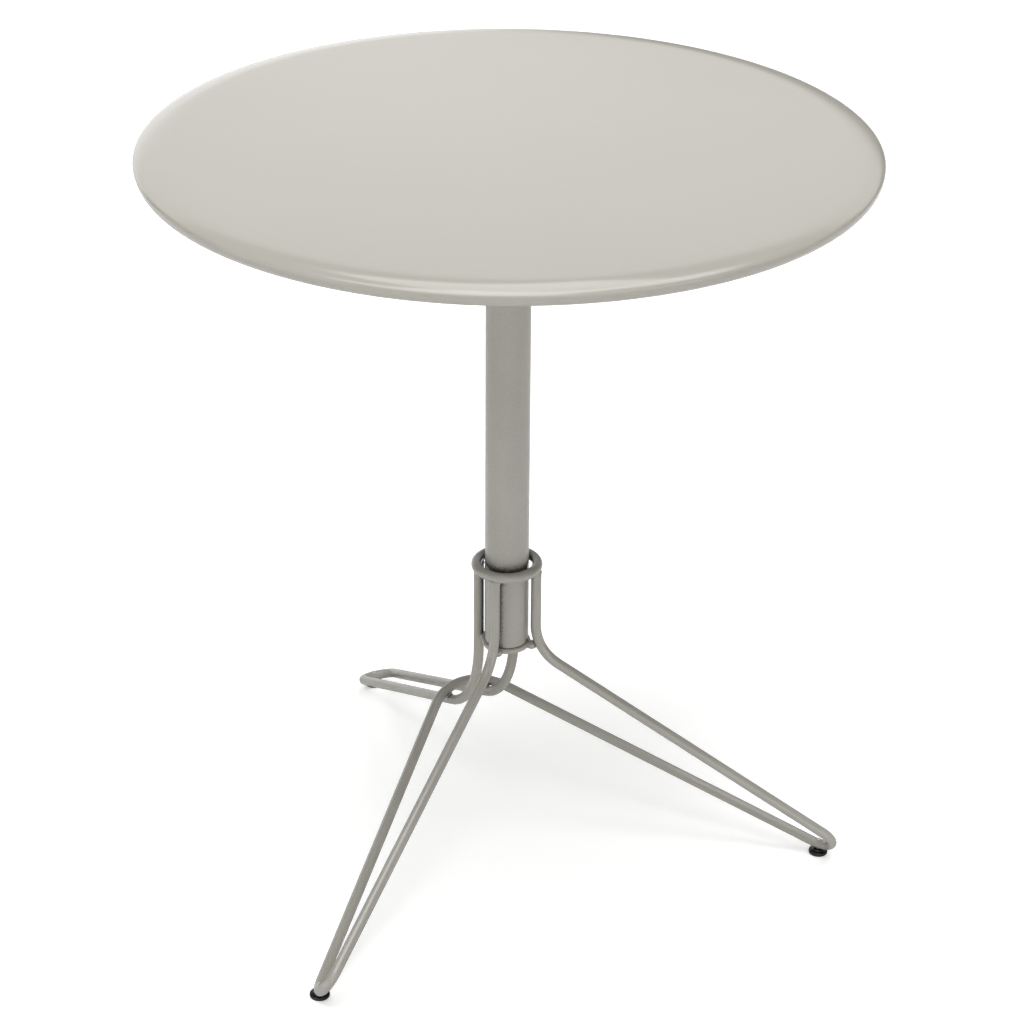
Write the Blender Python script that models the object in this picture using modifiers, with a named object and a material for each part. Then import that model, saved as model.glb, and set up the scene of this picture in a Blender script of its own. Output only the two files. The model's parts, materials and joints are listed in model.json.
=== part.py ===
"""Bistro table with a tipping round steel top on a three-footed bent-rod base.

Metres, +Z up. The origin is on the floor under the centre of the post. The single
leg points to +Y, the pair of legs to -Y, and the plane X = 0 is the base's mirror
plane. The top tips about a horizontal pivot bolt that lies along X.
"""

import math

import bmesh
import bpy
from mathutils import Matrix, Vector

# ---------------------------------------------------------------- driving sizes
TABLE_HEIGHT = 0.745
TOP_RADIUS = 0.335
SHEET = 0.0015                # steel sheet of the top
GAP = 0.0003                  # left between pieces that touch
FINE_GAP = 0.0004             # left where a flat meets a round

# rim of the top: a long soft roll-over, then a short turn back under to a lip
ROLL_WIDTH = 0.030
ROLL_DROP = 0.008
TURN_WIDTH = 0.006
TURN_DROP = 0.009
LIP_WIDTH = 0.006
ROLL_STEPS = 7
TURN_STEPS = 4

# round steel rods of the base
ROD_RADIUS = 0.005
CAGE_RADIUS = 0.0294          # centre line of the four upright rod ends
UPPER_RING_Z = 0.3145
LOWER_RING_Z = 0.229
LOWER_RING_RADIUS = 0.0208
LOWER_RING_WIRE = 0.0029

PAIR_UPRIGHT_AZIMUTH = math.radians(-41.0)
PAIR_BEND_Z = 0.2238          # where the upright's and the leg's lines cross
PAIR_BEND_RADIUS = 0.050
PAIR_FOOT_DISTANCE = 0.3109
PAIR_FOOT_AZIMUTH = math.radians(-32.46)
PAIR_FOOT_Z = 0.026
PAIR_FOOT_RADIUS = 0.0185
BRIDGE_CORNER = Vector((0.0, 0.1203, 0.1428))
BRIDGE_RADIUS = 0.052

SINGLE_UPRIGHT_AZIMUTH = math.radians(49.0)
SINGLE_BEND_Z = 0.148
SINGLE_BEND_RADIUS = 0.106
SINGLE_FOOT = Vector((0.0, 0.3134, 0.018))
SINGLE_FOOT_RADIUS = 0.018
HAIRPIN_FILL = 0.985          # corner radius over end radius, so the two corners never meet

# post
POST_RADIUS = 0.0212
POST_WALL = 0.0020
POST_BOTTOM = LOWER_RING_Z + LOWER_RING_WIRE + GAP
POST_TOP = 0.676
PLUG_RADIUS = POST_RADIUS - POST_WALL - GAP
PLUG_SINK = 0.0005            # how far the plug sits up inside the post
PLUG_FLOOR = 0.004
PLUG_DEPTH = 0.018
PLUG_WALL = 0.002

# glides under the feet
GLIDE_RADIUS = 0.0095
GLIDE_EDGE = 0.0009
GLIDE_DISC_TOP = 0.0034
GLIDE_BOSS_RADIUS = 0.0050    # the boss that carries the rod stands on the disc
GLIDE_SCREW_RADIUS = 0.0020
GLIDE_HEAD_RADIUS = 0.0040
GLIDE_HEAD_LOW = 0.0006       # the screw's head starts this far above the floor
GLIDE_HEAD_RIM = 0.0003
GLIDE_SINK_RIM = 0.0007       # straight part at the mouth of the countersink
GLIDE_SINK_TOP = 0.0032
SCREW_TIP = 0.0006            # how far the screw shows above the rod

# tipping head
PIVOT_Z = 0.700
BARREL_RADIUS = 0.013
BARREL_HALF = 0.022
COLLAR_HEIGHT = 0.006
COLLAR_EDGE = 0.001
SPIGOT_DEPTH = 0.036
SPIGOT_EDGE = 0.002
NECK_SINK = 0.003             # how far the neck reaches down into the collar
NECK_X = 0.030
NECK_Y = 0.022
ARM_X = 0.020
ARM_FIRST_Y = 0.002           # the rest arm runs from here
ARM_LAST_Y = 0.052            # to here
ARM_LOW = 0.012               # height of the arm's underside above the pivot
ARM_TOP = 0.020
RISER_LOW = -0.004
RISER_FIRST_Y = 0.002
RISER_LAST_Y = 0.016
BOLT_RADIUS = 0.005
BOLT_HEAD_CORNER = 0.0092     # centre to corner of the hexagon
BOLT_HEAD_HEIGHT = 0.0064
BOLT_HEAD_ROOT = 0.001        # overlap that joins the head to the shank
BOLT_END = 0.0050             # how far the bolt passes the cam pin
BUSH_RADIUS = 0.0072
BUSH_FLANGE_RADIUS = 0.0105
BUSH_INNER_END = 0.008        # inner end of each bush from the middle plane
EAR_INNER = 0.0240            # inner face of each ear from the middle plane
EAR_THICK = 0.0040
EAR_OUTER = EAR_INNER + EAR_THICK
EAR_RADIUS = 0.013
EAR_ROOT_HALF = 0.024
EAR_ROOT_SINK = 0.001         # the ears reach up to this far below the plate's top
EAR_ROOT_STEP = 0.006
EAR_ARC_START = 190
EAR_ARC_END = 350
EAR_ARC_STEPS = 10
WASHER_THICK = 0.0020
WASHER_RADIUS = 0.0105
BUMPER_Y = 0.040
BUFFER_Y = -0.048
PAD_RADIUS = 0.009
PAD_TAPER = 0.001
BUFFER_REACH = 0.0010         # gap from the post when the top stands upright

# plate under the top
PLATE_HALF_X = 0.075
PLATE_HALF_Y = 0.070
PLATE_THICK = 0.004
PLATE_CORNER = 0.012
PLATE_TOP = TABLE_HEIGHT - SHEET - GAP
PLATE_BOTTOM = PLATE_TOP - PLATE_THICK
STUD_RADIUS = 0.003
STUD_X = 0.060
STUD_Y = 0.055
STUD_LENGTH = 0.0135
NUT_FLANGE_RADIUS = 0.0065
NUT_FLANGE = 0.0012
NUT_CORNER = 0.0052           # centre to corner of the hexagon
NUT_HEIGHT = 0.0060
NUT_ROOT = 0.0002             # overlap that joins the hexagon to its flange

# stiffening rails welded under the sheet
RAIL_Y = 0.100
RAIL_LENGTH = 0.520
RAIL_WIDTH = 0.030
RAIL_DEPTH = 0.013
RAIL_SHEET = 0.0015
RAIL_FLANGE = 0.006
RAIL_SLOPE = 0.006            # how far each side leans in
RAIL_FOLD = 0.001             # sideways shift of the outer skin at a fold

# clamping lever
CAM_RADIUS = 0.0098
CAM_OFFSET = 0.0007
CAM_PIN_X = EAR_OUTER + GAP + WASHER_THICK + GAP + CAM_RADIUS + CAM_OFFSET
CAM_PIN_RADIUS = 0.0027
CHEEK_INNER = 0.0054
CHEEK_OUTER = 0.0104
PIN_PROUD = 0.0004            # the pin stands this far out of each cheek
ARM_THICK = 0.013
BRIDGE_X = 0.0135             # block that joins each cheek to the arm
BRIDGE_Y = 0.0165
BRIDGE_SHIFT = 0.00275
# edges of the arm and of its grip: distance along the arm, then distance out from the cam's middle
ARM_OUTER = ((0.0085, 0.0095), (0.030, 0.0085), (0.060, 0.0110), (0.098, 0.0150))
ARM_INNER = ((0.0085, -0.0040), (0.018, -0.0040), (0.030, 0.0020), (0.060, 0.0055), (0.098, 0.0095))
GRIP_OUTER = ((0.050, 0.0145), (0.062, 0.0150), (0.099, 0.0195), (0.102, 0.0165))
GRIP_INNER = ((0.050, 0.0005), (0.062, 0.0015), (0.099, 0.0055), (0.102, 0.0085))
GRIP_THICK = 0.019
SLOT_START = 0.030

# local axes for a flat outline that stands up: its thickness lies along X
STAND = Matrix(((0, 0, 1, 0), (1, 0, 0, 0), (0, 1, 0, 0), (0, 0, 0, 1)))


# ---------------------------------------------------------------- scene helpers
def clear_scene():
    for obj in list(bpy.data.objects):
        bpy.data.objects.remove(obj, do_unlink=True)


def make_collection(name):
    collection = bpy.data.collections.new(name)
    bpy.context.scene.collection.children.link(collection)
    return collection


clear_scene()
parts = make_collection("bistro_table")
cutters = make_collection("bistro_table_cutters")


def material(name, colour, roughness, metallic):
    """A plain Principled material."""
    mat = bpy.data.materials.new(name)
    mat.use_nodes = True
    shader = mat.node_tree.nodes["Principled BSDF"]
    shader.inputs["Base Color"].default_value = (*colour, 1.0)
    shader.inputs["Roughness"].default_value = roughness
    shader.inputs["Metallic"].default_value = metallic
    return mat


PAINT_TOP = material("clay_grey_paint_smooth", (0.62, 0.61, 0.56), 0.40, 0.0)
PAINT_BASE = material("clay_grey_paint_textured", (0.56, 0.55, 0.50), 0.55, 0.0)
ZINC = material("zinc_plated_steel", (0.55, 0.55, 0.54), 0.35, 1.0)
CAST = material("cast_aluminium", (0.48, 0.48, 0.47), 0.45, 1.0)
BLACK_PLASTIC = material("black_plastic", (0.012, 0.012, 0.013), 0.25, 0.0)
BLACK_RUBBER = material("black_rubber", (0.02, 0.02, 0.02), 0.75, 0.0)
NYLON = material("white_nylon", (0.72, 0.72, 0.68), 0.45, 0.0)


def add_mesh_object(name, mesh, mat, collection=None):
    obj = bpy.data.objects.new(name, mesh)
    (collection or parts).objects.link(obj)
    mesh.materials.clear()
    mesh.materials.append(mat)
    mesh.shade_smooth()
    mesh.set_sharp_from_angle(angle=math.radians(35))
    return obj


def finish_bmesh(bm, name):
    bmesh.ops.recalc_face_normals(bm, faces=bm.faces)
    mesh = bpy.data.meshes.new(name)
    bm.to_mesh(mesh)
    bm.free()
    return mesh


AXIS_TURN = {"Z": Matrix.Identity(4), "X": Matrix.Rotation(math.radians(90), 4, "Y")}


def cylinder(name, radius, depth, centre, mat, axis="Z", sides=32, radius_end=None, collection=None):
    """A cylinder, or a cone when radius_end is given, centred on a point."""
    bm = bmesh.new()
    bmesh.ops.create_cone(bm, cap_ends=True, segments=sides, radius1=radius,
                          radius2=radius_end or radius, depth=depth)
    obj = add_mesh_object(name, finish_bmesh(bm, name), mat, collection)
    obj.matrix_world = Matrix.Translation(centre) @ AXIS_TURN[axis]
    return obj


def drill(radius, depth, centre, mat, axis="Z", sides=20):
    """A round cutter; the cut faces take the given material."""
    return cylinder("drill", radius, depth, centre, mat, axis, sides, collection=cutters)


def box(name, low, high, mat):
    """A box between two corners, its size applied to the mesh."""
    low, high = Vector(low), Vector(high)
    bm = bmesh.new()
    bmesh.ops.create_cube(bm, size=1.0)
    bmesh.ops.scale(bm, vec=high - low, verts=bm.verts)
    obj = add_mesh_object(name, finish_bmesh(bm, name), mat)
    obj.location = (low + high) / 2
    return obj


def turned(name, profile, mat, steps=64, centre=(0.0, 0.0, 0.0), axis="Z"):
    """A solid of revolution: the profile's (radius, height) points run down the outer side."""
    mesh = bpy.data.meshes.new(name)
    points = [(radius, 0.0, height) for radius, height in profile]
    closed = profile[0][0] > 0.0
    edges = [(i, i + 1) for i in range(len(points) - 1)]
    if closed:
        edges.append((len(points) - 1, 0))
    mesh.from_pydata(points, edges, [])
    obj = bpy.data.objects.new(name, mesh)
    parts.objects.link(obj)
    screw = obj.modifiers.new("turn", "SCREW")
    screw.steps = steps
    screw.render_steps = steps
    screw.use_merge_vertices = True
    screw.merge_threshold = 0.00005
    baked = to_mesh(obj, mat)
    baked.matrix_world = Matrix.Translation(centre) @ AXIS_TURN[axis]
    return baked


def to_mesh(obj, mat):
    """The object's evaluated shape as a plain mesh object of the same name, caps welded."""
    bpy.context.view_layer.update()
    evaluated = obj.evaluated_get(bpy.context.evaluated_depsgraph_get())
    mesh = bpy.data.meshes.new_from_object(evaluated)
    place = obj.matrix_world.copy()
    name = obj.name
    collection = obj.users_collection[0]
    bpy.data.objects.remove(obj, do_unlink=True)
    bm = bmesh.new()
    bm.from_mesh(mesh)
    bmesh.ops.remove_doubles(bm, verts=bm.verts, dist=0.00001)
    bmesh.ops.recalc_face_normals(bm, faces=bm.faces)
    bm.to_mesh(mesh)
    bm.free()
    baked = add_mesh_object(name, mesh, mat, collection)
    baked.matrix_world = place
    return baked


def prism(name, outline, thickness, place, mat, collection=None):
    """A flat outline in its own XY plane, thickened about that plane and put at place."""
    curve = bpy.data.curves.new(name, "CURVE")
    curve.dimensions = "2D"
    curve.fill_mode = "BOTH"
    curve.extrude = thickness / 2
    spline = curve.splines.new("POLY")
    spline.points.add(len(outline) - 1)
    for point, (x, y) in zip(spline.points, outline):
        point.co = (x, y, 0.0, 1.0)
    spline.use_cyclic_u = True
    obj = bpy.data.objects.new(name, curve)
    (collection or parts).objects.link(obj)
    obj.matrix_world = place
    return to_mesh(obj, mat)


def rod(name, path, radius, mat, cyclic=False):
    """A round bar along a path of points."""
    curve = bpy.data.curves.new(name, "CURVE")
    curve.dimensions = "3D"
    curve.bevel_depth = radius
    curve.bevel_resolution = 4
    curve.use_fill_caps = not cyclic
    spline = curve.splines.new("POLY")
    spline.points.add(len(path) - 1)
    for point, place in zip(spline.points, path):
        point.co = (*place, 1.0)
    spline.use_cyclic_u = cyclic
    obj = bpy.data.objects.new(name, curve)
    parts.objects.link(obj)
    return to_mesh(obj, mat)


def boolean(target, tool, operation):
    """Cut or join with an exact Boolean; the tool is then removed."""
    modifier = target.modifiers.new(operation.lower(), "BOOLEAN")
    modifier.operation = operation
    modifier.solver = "EXACT"
    modifier.object = tool
    mat = target.data.materials[0]
    baked = to_mesh(target, mat)
    bpy.data.objects.remove(tool, do_unlink=True)
    return baked


def join(target, *pieces):
    for piece in pieces:
        target = boolean(target, piece, "UNION")
    return target


def cut(target, *tools):
    for tool in tools:
        tool.hide_render = True
        tool.display_type = "WIRE"
        target = boolean(target, tool, "DIFFERENCE")
    return target


# ---------------------------------------------------------------- geometry helpers
def mirrored(point):
    return Vector((-point.x, point.y, point.z))


def around(radius, azimuth, z):
    return Vector((radius * math.cos(azimuth), radius * math.sin(azimuth), z))


def rounded_path(corners, radii, step=math.radians(9)):
    """Corner points joined by straight runs, each inner corner rounded to its radius."""
    path = [corners[0]]
    for before, corner, after, radius in zip(corners, corners[1:], corners[2:], radii[1:]):
        back = (before - corner).normalized()
        ahead = (after - corner).normalized()
        turn = math.pi - back.angle(ahead)
        centre = corner + (back + ahead).normalized() * (radius / math.cos(turn / 2))
        start = corner + back * radius * math.tan(turn / 2) - centre
        side = -back * radius
        count = max(3, round(turn / step))
        for i in range(count + 1):
            angle = turn * i / count
            path.append(centre + start * math.cos(angle) + side * math.sin(angle))
    path.append(corners[-1])
    return path


def hairpin_corners(first, second, centre, radius):
    """Two corners of a hairpin whose wires start at first and second and clear a round end."""
    along = (centre - (first + second) / 2).normalized()
    normal = (first - centre).cross(second - centre).normalized()
    across = normal.cross(along)
    if across.dot(first - second) < 0.0:
        across.negate()
    corners = []
    for start, side in ((first, across), (second, -across)):
        to_centre = centre - start
        heading = to_centre.normalized()
        sideways = (side - heading * side.dot(heading)).normalized()
        spread = math.asin(radius / to_centre.length)
        direction = heading * math.cos(spread) + sideways * math.sin(spread)
        reach = (centre + along * radius - start).dot(along) / direction.dot(along)
        corners.append(start + direction * reach)
    return corners


def lowest_point(first, second, centre, radius):
    """The lowest point of the hairpin's round end."""
    normal = (first - centre).cross(second - centre).normalized()
    down = Vector((0.0, 0.0, -1.0))
    return centre + (down - normal * down.dot(normal)).normalized() * radius


def ring_path(radius, z, count):
    return [around(radius, 2 * math.pi * i / count, z) for i in range(count)]


def quarter(centre_r, centre_z, width, height, start, end, count):
    """Points of an ellipse from one angle to another, as (radius, height)."""
    points = []
    for i in range(count + 1):
        angle = math.radians(start + (end - start) * i / count)
        points.append((centre_r + width * math.cos(angle), centre_z + height * math.sin(angle)))
    return points


def rounded_rectangle(half_x, half_y, radius, steps=4):
    """Outline points, anticlockwise."""
    points = []
    for sign_x, sign_y, start in ((1, 1, 0), (-1, 1, 90), (-1, -1, 180), (1, -1, 270)):
        centre_x = sign_x * (half_x - radius)
        centre_y = sign_y * (half_y - radius)
        for i in range(steps + 1):
            angle = math.radians(start + 90 * i / steps)
            points.append((centre_x + radius * math.cos(angle), centre_y + radius * math.sin(angle)))
    return points


# ---------------------------------------------------------------- base
def foot_lines():
    """The corner points of both bent rods, and the lowest point of each foot."""
    pair_bend = around(CAGE_RADIUS, PAIR_UPRIGHT_AZIMUTH, PAIR_BEND_Z)
    pair_foot = around(PAIR_FOOT_DISTANCE, PAIR_FOOT_AZIMUTH, PAIR_FOOT_Z)
    single_bend = around(CAGE_RADIUS, SINGLE_UPRIGHT_AZIMUTH, SINGLE_BEND_Z)
    pair_low = lowest_point(pair_bend, BRIDGE_CORNER, pair_foot, PAIR_FOOT_RADIUS)
    single_low = lowest_point(single_bend, mirrored(single_bend), SINGLE_FOOT, SINGLE_FOOT_RADIUS)
    feet = {"right": pair_low, "left": mirrored(pair_low), "rear": single_low}
    return pair_bend, pair_foot, single_bend, feet


PAIR_BEND, PAIR_FOOT, SINGLE_BEND, FEET = foot_lines()
UPRIGHT_TOP = UPPER_RING_Z - ROD_RADIUS - GAP


def drill_for_glides(obj, names):
    for name in names:
        obj = cut(obj, drill(GLIDE_SCREW_RADIUS + GAP, 6 * ROD_RADIUS, FEET[name], PAINT_BASE))
    return obj


def make_pair_rod():
    """One rod bent into the pair of legs and the bridge between them."""
    outer, inner = hairpin_corners(PAIR_BEND, BRIDGE_CORNER, PAIR_FOOT, PAIR_FOOT_RADIUS)
    top = Vector((PAIR_BEND.x, PAIR_BEND.y, UPRIGHT_TOP))
    half = [top, PAIR_BEND, outer, inner]
    corners = half + [BRIDGE_CORNER] + [mirrored(p) for p in reversed(half)]
    end = PAIR_FOOT_RADIUS * HAIRPIN_FILL
    radii = [0.0, PAIR_BEND_RADIUS, end, end, BRIDGE_RADIUS, end, end, PAIR_BEND_RADIUS, 0.0]
    obj = rod("leg_rod_pair", rounded_path(corners, radii), ROD_RADIUS, PAINT_BASE)
    return drill_for_glides(obj, ("left", "right"))


def make_single_rod():
    """One rod bent into the single leg."""
    right, left = hairpin_corners(SINGLE_BEND, mirrored(SINGLE_BEND), SINGLE_FOOT, SINGLE_FOOT_RADIUS)
    top = Vector((SINGLE_BEND.x, SINGLE_BEND.y, UPRIGHT_TOP))
    corners = [top, SINGLE_BEND, right, left, mirrored(SINGLE_BEND), mirrored(top)]
    end = SINGLE_FOOT_RADIUS * HAIRPIN_FILL
    radii = [0.0, SINGLE_BEND_RADIUS, end, end, SINGLE_BEND_RADIUS, 0.0]
    obj = rod("leg_rod_single", rounded_path(corners, radii), ROD_RADIUS, PAINT_BASE)
    return drill_for_glides(obj, ("rear",))


def make_rings():
    rod("upper_ring", ring_path(CAGE_RADIUS, UPPER_RING_Z, 40), ROD_RADIUS, PAINT_BASE, cyclic=True)
    rod("lower_ring", ring_path(LOWER_RING_RADIUS, LOWER_RING_Z, 36), LOWER_RING_WIRE, PAINT_BASE,
        cyclic=True)


def make_glides():
    """Under each foot, a plastic disc with a boss, and its countersunk screw."""
    for name, low in FEET.items():
        pad_top = low.z - ROD_RADIUS - FINE_GAP
        hole = GLIDE_SCREW_RADIUS + GAP
        sink = GLIDE_HEAD_RADIUS + GAP
        flat = GLIDE_RADIUS - GLIDE_EDGE
        pad_profile = [(hole, pad_top), (GLIDE_BOSS_RADIUS, pad_top), (GLIDE_BOSS_RADIUS, GLIDE_DISC_TOP),
                       (flat, GLIDE_DISC_TOP), (GLIDE_RADIUS, GLIDE_DISC_TOP - GLIDE_EDGE),
                       (GLIDE_RADIUS, GLIDE_EDGE), (flat, 0.0), (sink, 0.0), (sink, GLIDE_SINK_RIM),
                       (hole, GLIDE_SINK_TOP)]
        turned(f"glide_pad_{name}", pad_profile, BLACK_PLASTIC, steps=32, centre=(low.x, low.y, 0.0))
        tip = low.z + ROD_RADIUS + SCREW_TIP
        head_rim = GLIDE_HEAD_LOW + GLIDE_HEAD_RIM
        screw_profile = [(0.0, tip), (GLIDE_SCREW_RADIUS * 0.7, tip), (GLIDE_SCREW_RADIUS, tip - SCREW_TIP),
                         (GLIDE_SCREW_RADIUS, GLIDE_SINK_TOP), (GLIDE_HEAD_RADIUS, head_rim),
                         (GLIDE_HEAD_RADIUS, GLIDE_HEAD_LOW), (0.0, GLIDE_HEAD_LOW)]
        turned(f"glide_screw_{name}", screw_profile, ZINC, steps=24, centre=(low.x, low.y, 0.0))


def make_post():
    inner = POST_RADIUS - POST_WALL
    tube = [(inner, POST_TOP), (POST_RADIUS, POST_TOP), (POST_RADIUS, POST_BOTTOM), (inner, POST_BOTTOM)]
    turned("post_tube", tube, PAINT_BASE, steps=48)
    low = POST_BOTTOM + PLUG_SINK
    cup = PLUG_RADIUS - PLUG_WALL
    plug = [(0.0, low + PLUG_FLOOR), (cup, low + PLUG_FLOOR), (cup, low + PLUG_DEPTH),
            (PLUG_RADIUS, low + PLUG_DEPTH), (PLUG_RADIUS, low), (0.0, low)]
    turned("post_plug", plug, BLACK_PLASTIC, steps=32)


def make_head():
    """Cast head: a spigot in the post, a collar on it, the pivot barrel and the rest arm."""
    collar_top = POST_TOP + COLLAR_HEIGHT
    spigot_low = POST_TOP - SPIGOT_DEPTH
    profile = [(0.0, collar_top), (POST_RADIUS - COLLAR_EDGE, collar_top),
               (POST_RADIUS, collar_top - COLLAR_EDGE), (POST_RADIUS, POST_TOP + GAP),
               (PLUG_RADIUS, POST_TOP + GAP), (PLUG_RADIUS, spigot_low + SPIGOT_EDGE),
               (PLUG_RADIUS - SPIGOT_EDGE, spigot_low), (0.0, spigot_low)]
    head = turned("pivot_head", profile, CAST, steps=32)
    neck = box("neck", (-NECK_X / 2, -NECK_Y / 2, collar_top - NECK_SINK),
               (NECK_X / 2, NECK_Y / 2, PIVOT_Z), CAST)
    barrel = cylinder("barrel", BARREL_RADIUS, 2 * BARREL_HALF, (0, 0, PIVOT_Z), CAST, axis="X")
    riser = box("riser", (-ARM_X / 2, RISER_FIRST_Y, PIVOT_Z + RISER_LOW),
                (ARM_X / 2, RISER_LAST_Y, PIVOT_Z + ARM_TOP), CAST)
    arm = box("arm", (-ARM_X / 2, ARM_FIRST_Y, PIVOT_Z + ARM_LOW),
              (ARM_X / 2, ARM_LAST_Y, PIVOT_Z + ARM_TOP), CAST)
    head = join(head, neck, barrel, riser, arm)
    cut(head, drill(BUSH_RADIUS + GAP, 3 * BARREL_HALF, (0, 0, PIVOT_Z), CAST, axis="X", sides=32))


def make_rest_bumper():
    """Rubber bumper on the head's arm that the plate lies on when the top is down."""
    low = PIVOT_Z + ARM_TOP + GAP
    high = PLATE_BOTTOM - GAP
    cylinder("rest_bumper", PAD_RADIUS, high - low, (0, BUMPER_Y, (high + low) / 2), BLACK_RUBBER, sides=24,
             radius_end=PAD_RADIUS - PAD_TAPER)


def make_bushes():
    """A flanged bush in each end of the barrel."""
    flange_in = BARREL_HALF + GAP
    flange_out = EAR_INNER - GAP
    bore = BOLT_RADIUS + GAP
    for name, side in (("left", -1), ("right", 1)):
        profile = [(bore, flange_out), (BUSH_FLANGE_RADIUS, flange_out), (BUSH_FLANGE_RADIUS, flange_in),
                   (BUSH_RADIUS, flange_in), (BUSH_RADIUS, BUSH_INNER_END), (bore, BUSH_INNER_END)]
        bush = turned(f"pivot_bush_{name}", profile, NYLON, steps=32)
        turn = Matrix.Rotation(math.radians(90 * side), 4, "Y")
        bush.matrix_world = Matrix.Translation((0, 0, PIVOT_Z)) @ turn


# ---------------------------------------------------------------- tipping top
def make_table_top():
    """Pressed sheet with a soft rolled edge turned under to a lip."""
    roll_r = TOP_RADIUS - ROLL_WIDTH
    roll_z = TABLE_HEIGHT - ROLL_DROP
    turn_r = TOP_RADIUS - TURN_WIDTH
    bottom = roll_z - TURN_DROP
    outer = [(0.0, TABLE_HEIGHT)]
    outer += quarter(roll_r, roll_z, ROLL_WIDTH, ROLL_DROP, 90, 0, ROLL_STEPS)
    outer += quarter(turn_r, roll_z, TURN_WIDTH, TURN_DROP, 0, -90, TURN_STEPS)[1:]
    lip = [(turn_r - LIP_WIDTH, bottom), (turn_r - LIP_WIDTH, bottom + SHEET)]
    inner = quarter(turn_r, roll_z, TURN_WIDTH - SHEET, TURN_DROP - SHEET, -90, 0, TURN_STEPS)
    inner += quarter(roll_r, roll_z, ROLL_WIDTH - SHEET, ROLL_DROP - SHEET, 0, 90, ROLL_STEPS)[1:]
    inner.append((0.0, TABLE_HEIGHT - SHEET))
    return turned("table_top", outer + lip + inner, PAINT_TOP, steps=72)


def rail_outline():
    """A hat section, open side up: two flanges against the sheet and a floor below."""
    half = RAIL_WIDTH / 2
    edge = half + RAIL_FLANGE
    floor = half - RAIL_SLOPE
    right = [(edge, 0.0), (half, 0.0), (floor, RAIL_SHEET - RAIL_DEPTH)]
    under = [(floor + RAIL_FOLD, -RAIL_DEPTH), (half + RAIL_FOLD, -RAIL_SHEET), (edge, -RAIL_SHEET)]
    left = [(-x, z) for x, z in reversed(right)]
    return right + left + [(-x, z) for x, z in reversed(under)] + under


def make_rails():
    """Two pressed rails, spot-welded under the sheet."""
    rails = []
    for name, side in (("front", -1), ("back", 1)):
        place = Matrix.Translation((0, side * RAIL_Y, PLATE_TOP)) @ STAND
        rails.append(prism(f"top_rail_{name}", rail_outline(), RAIL_LENGTH, place, PAINT_TOP))
    return rails


def ear_outline():
    """One ear of the hinge plate, seen along the pivot, which is the outline's origin."""
    root = PLATE_TOP - EAR_ROOT_SINK - PIVOT_Z
    step = root - EAR_ROOT_STEP
    sweep = EAR_ARC_END - EAR_ARC_START
    angles = [math.radians(EAR_ARC_START + sweep * i / EAR_ARC_STEPS) for i in range(EAR_ARC_STEPS + 1)]
    nose = [(EAR_RADIUS * math.cos(a), EAR_RADIUS * math.sin(a)) for a in angles]
    left, right = -EAR_ROOT_HALF, EAR_ROOT_HALF
    return [(right, root), (left, root), (left, step), *nose, (right, step)]


def make_hinge_plate():
    """Plate with two ears that straddle the pivot barrel."""
    middle = PLATE_TOP - PLATE_THICK / 2
    outline = rounded_rectangle(PLATE_HALF_X, PLATE_HALF_Y, PLATE_CORNER)
    plate = prism("hinge_plate", outline, PLATE_THICK, Matrix.Translation((0, 0, middle)), ZINC)
    for side in (-1, 1):
        centre = (side * (EAR_INNER + EAR_THICK / 2), 0, PIVOT_Z)
        plate = join(plate, prism("ear", ear_outline(), EAR_THICK, Matrix.Translation(centre) @ STAND, ZINC))
    tools = [drill(BOLT_RADIUS + GAP, 3 * EAR_OUTER, (0, 0, PIVOT_Z), ZINC, axis="X", sides=32)]
    for x, y in stud_places():
        tools.append(drill(STUD_RADIUS + FINE_GAP, 5 * PLATE_THICK, (x, y, middle), ZINC))
    return cut(plate, *tools)


def stud_places():
    return [(sx * STUD_X, sy * STUD_Y) for sx in (-1, 1) for sy in (-1, 1)]


def make_plate_fasteners():
    """Studs welded to the sheet, and the flange nuts that hold the plate on them."""
    made = []
    nut_top = PLATE_BOTTOM - GAP
    nut_low = nut_top - NUT_HEIGHT
    hexagon_top = nut_top - NUT_FLANGE + NUT_ROOT
    for number, (x, y) in enumerate(stud_places(), start=1):
        made.append(cylinder(f"weld_stud_{number}", STUD_RADIUS, STUD_LENGTH,
                             (x, y, PLATE_TOP - STUD_LENGTH / 2), ZINC, sides=20))
        nut = cylinder(f"flange_nut_{number}", NUT_FLANGE_RADIUS, NUT_FLANGE,
                       (x, y, nut_top - NUT_FLANGE / 2), ZINC, sides=24)
        hexagon = cylinder("hexagon", NUT_CORNER, hexagon_top - nut_low, (x, y, (hexagon_top + nut_low) / 2),
                           ZINC, sides=6)
        bore = drill(STUD_RADIUS + GAP, 3 * NUT_HEIGHT, (x, y, nut_low), ZINC)
        made.append(cut(join(nut, hexagon), bore))
    return made


def make_pivot_bolt():
    """Bolt along X: hexagon head on the left, cross-drilled end on the right."""
    head_face = -(EAR_OUTER + GAP + WASHER_THICK + GAP)
    end = CAM_PIN_X + BOLT_END
    start = head_face - BOLT_HEAD_ROOT
    bolt = cylinder("pivot_bolt", BOLT_RADIUS, end - start, ((end + start) / 2, 0, PIVOT_Z), ZINC, axis="X",
                    sides=28)
    head = cylinder("head", BOLT_HEAD_CORNER, BOLT_HEAD_HEIGHT,
                    (head_face - BOLT_HEAD_HEIGHT / 2, 0, PIVOT_Z), ZINC, axis="X", sides=6)
    return cut(join(bolt, head), drill(CAM_PIN_RADIUS + GAP, 4 * BOLT_RADIUS, (CAM_PIN_X, 0, PIVOT_Z), ZINC))


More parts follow.
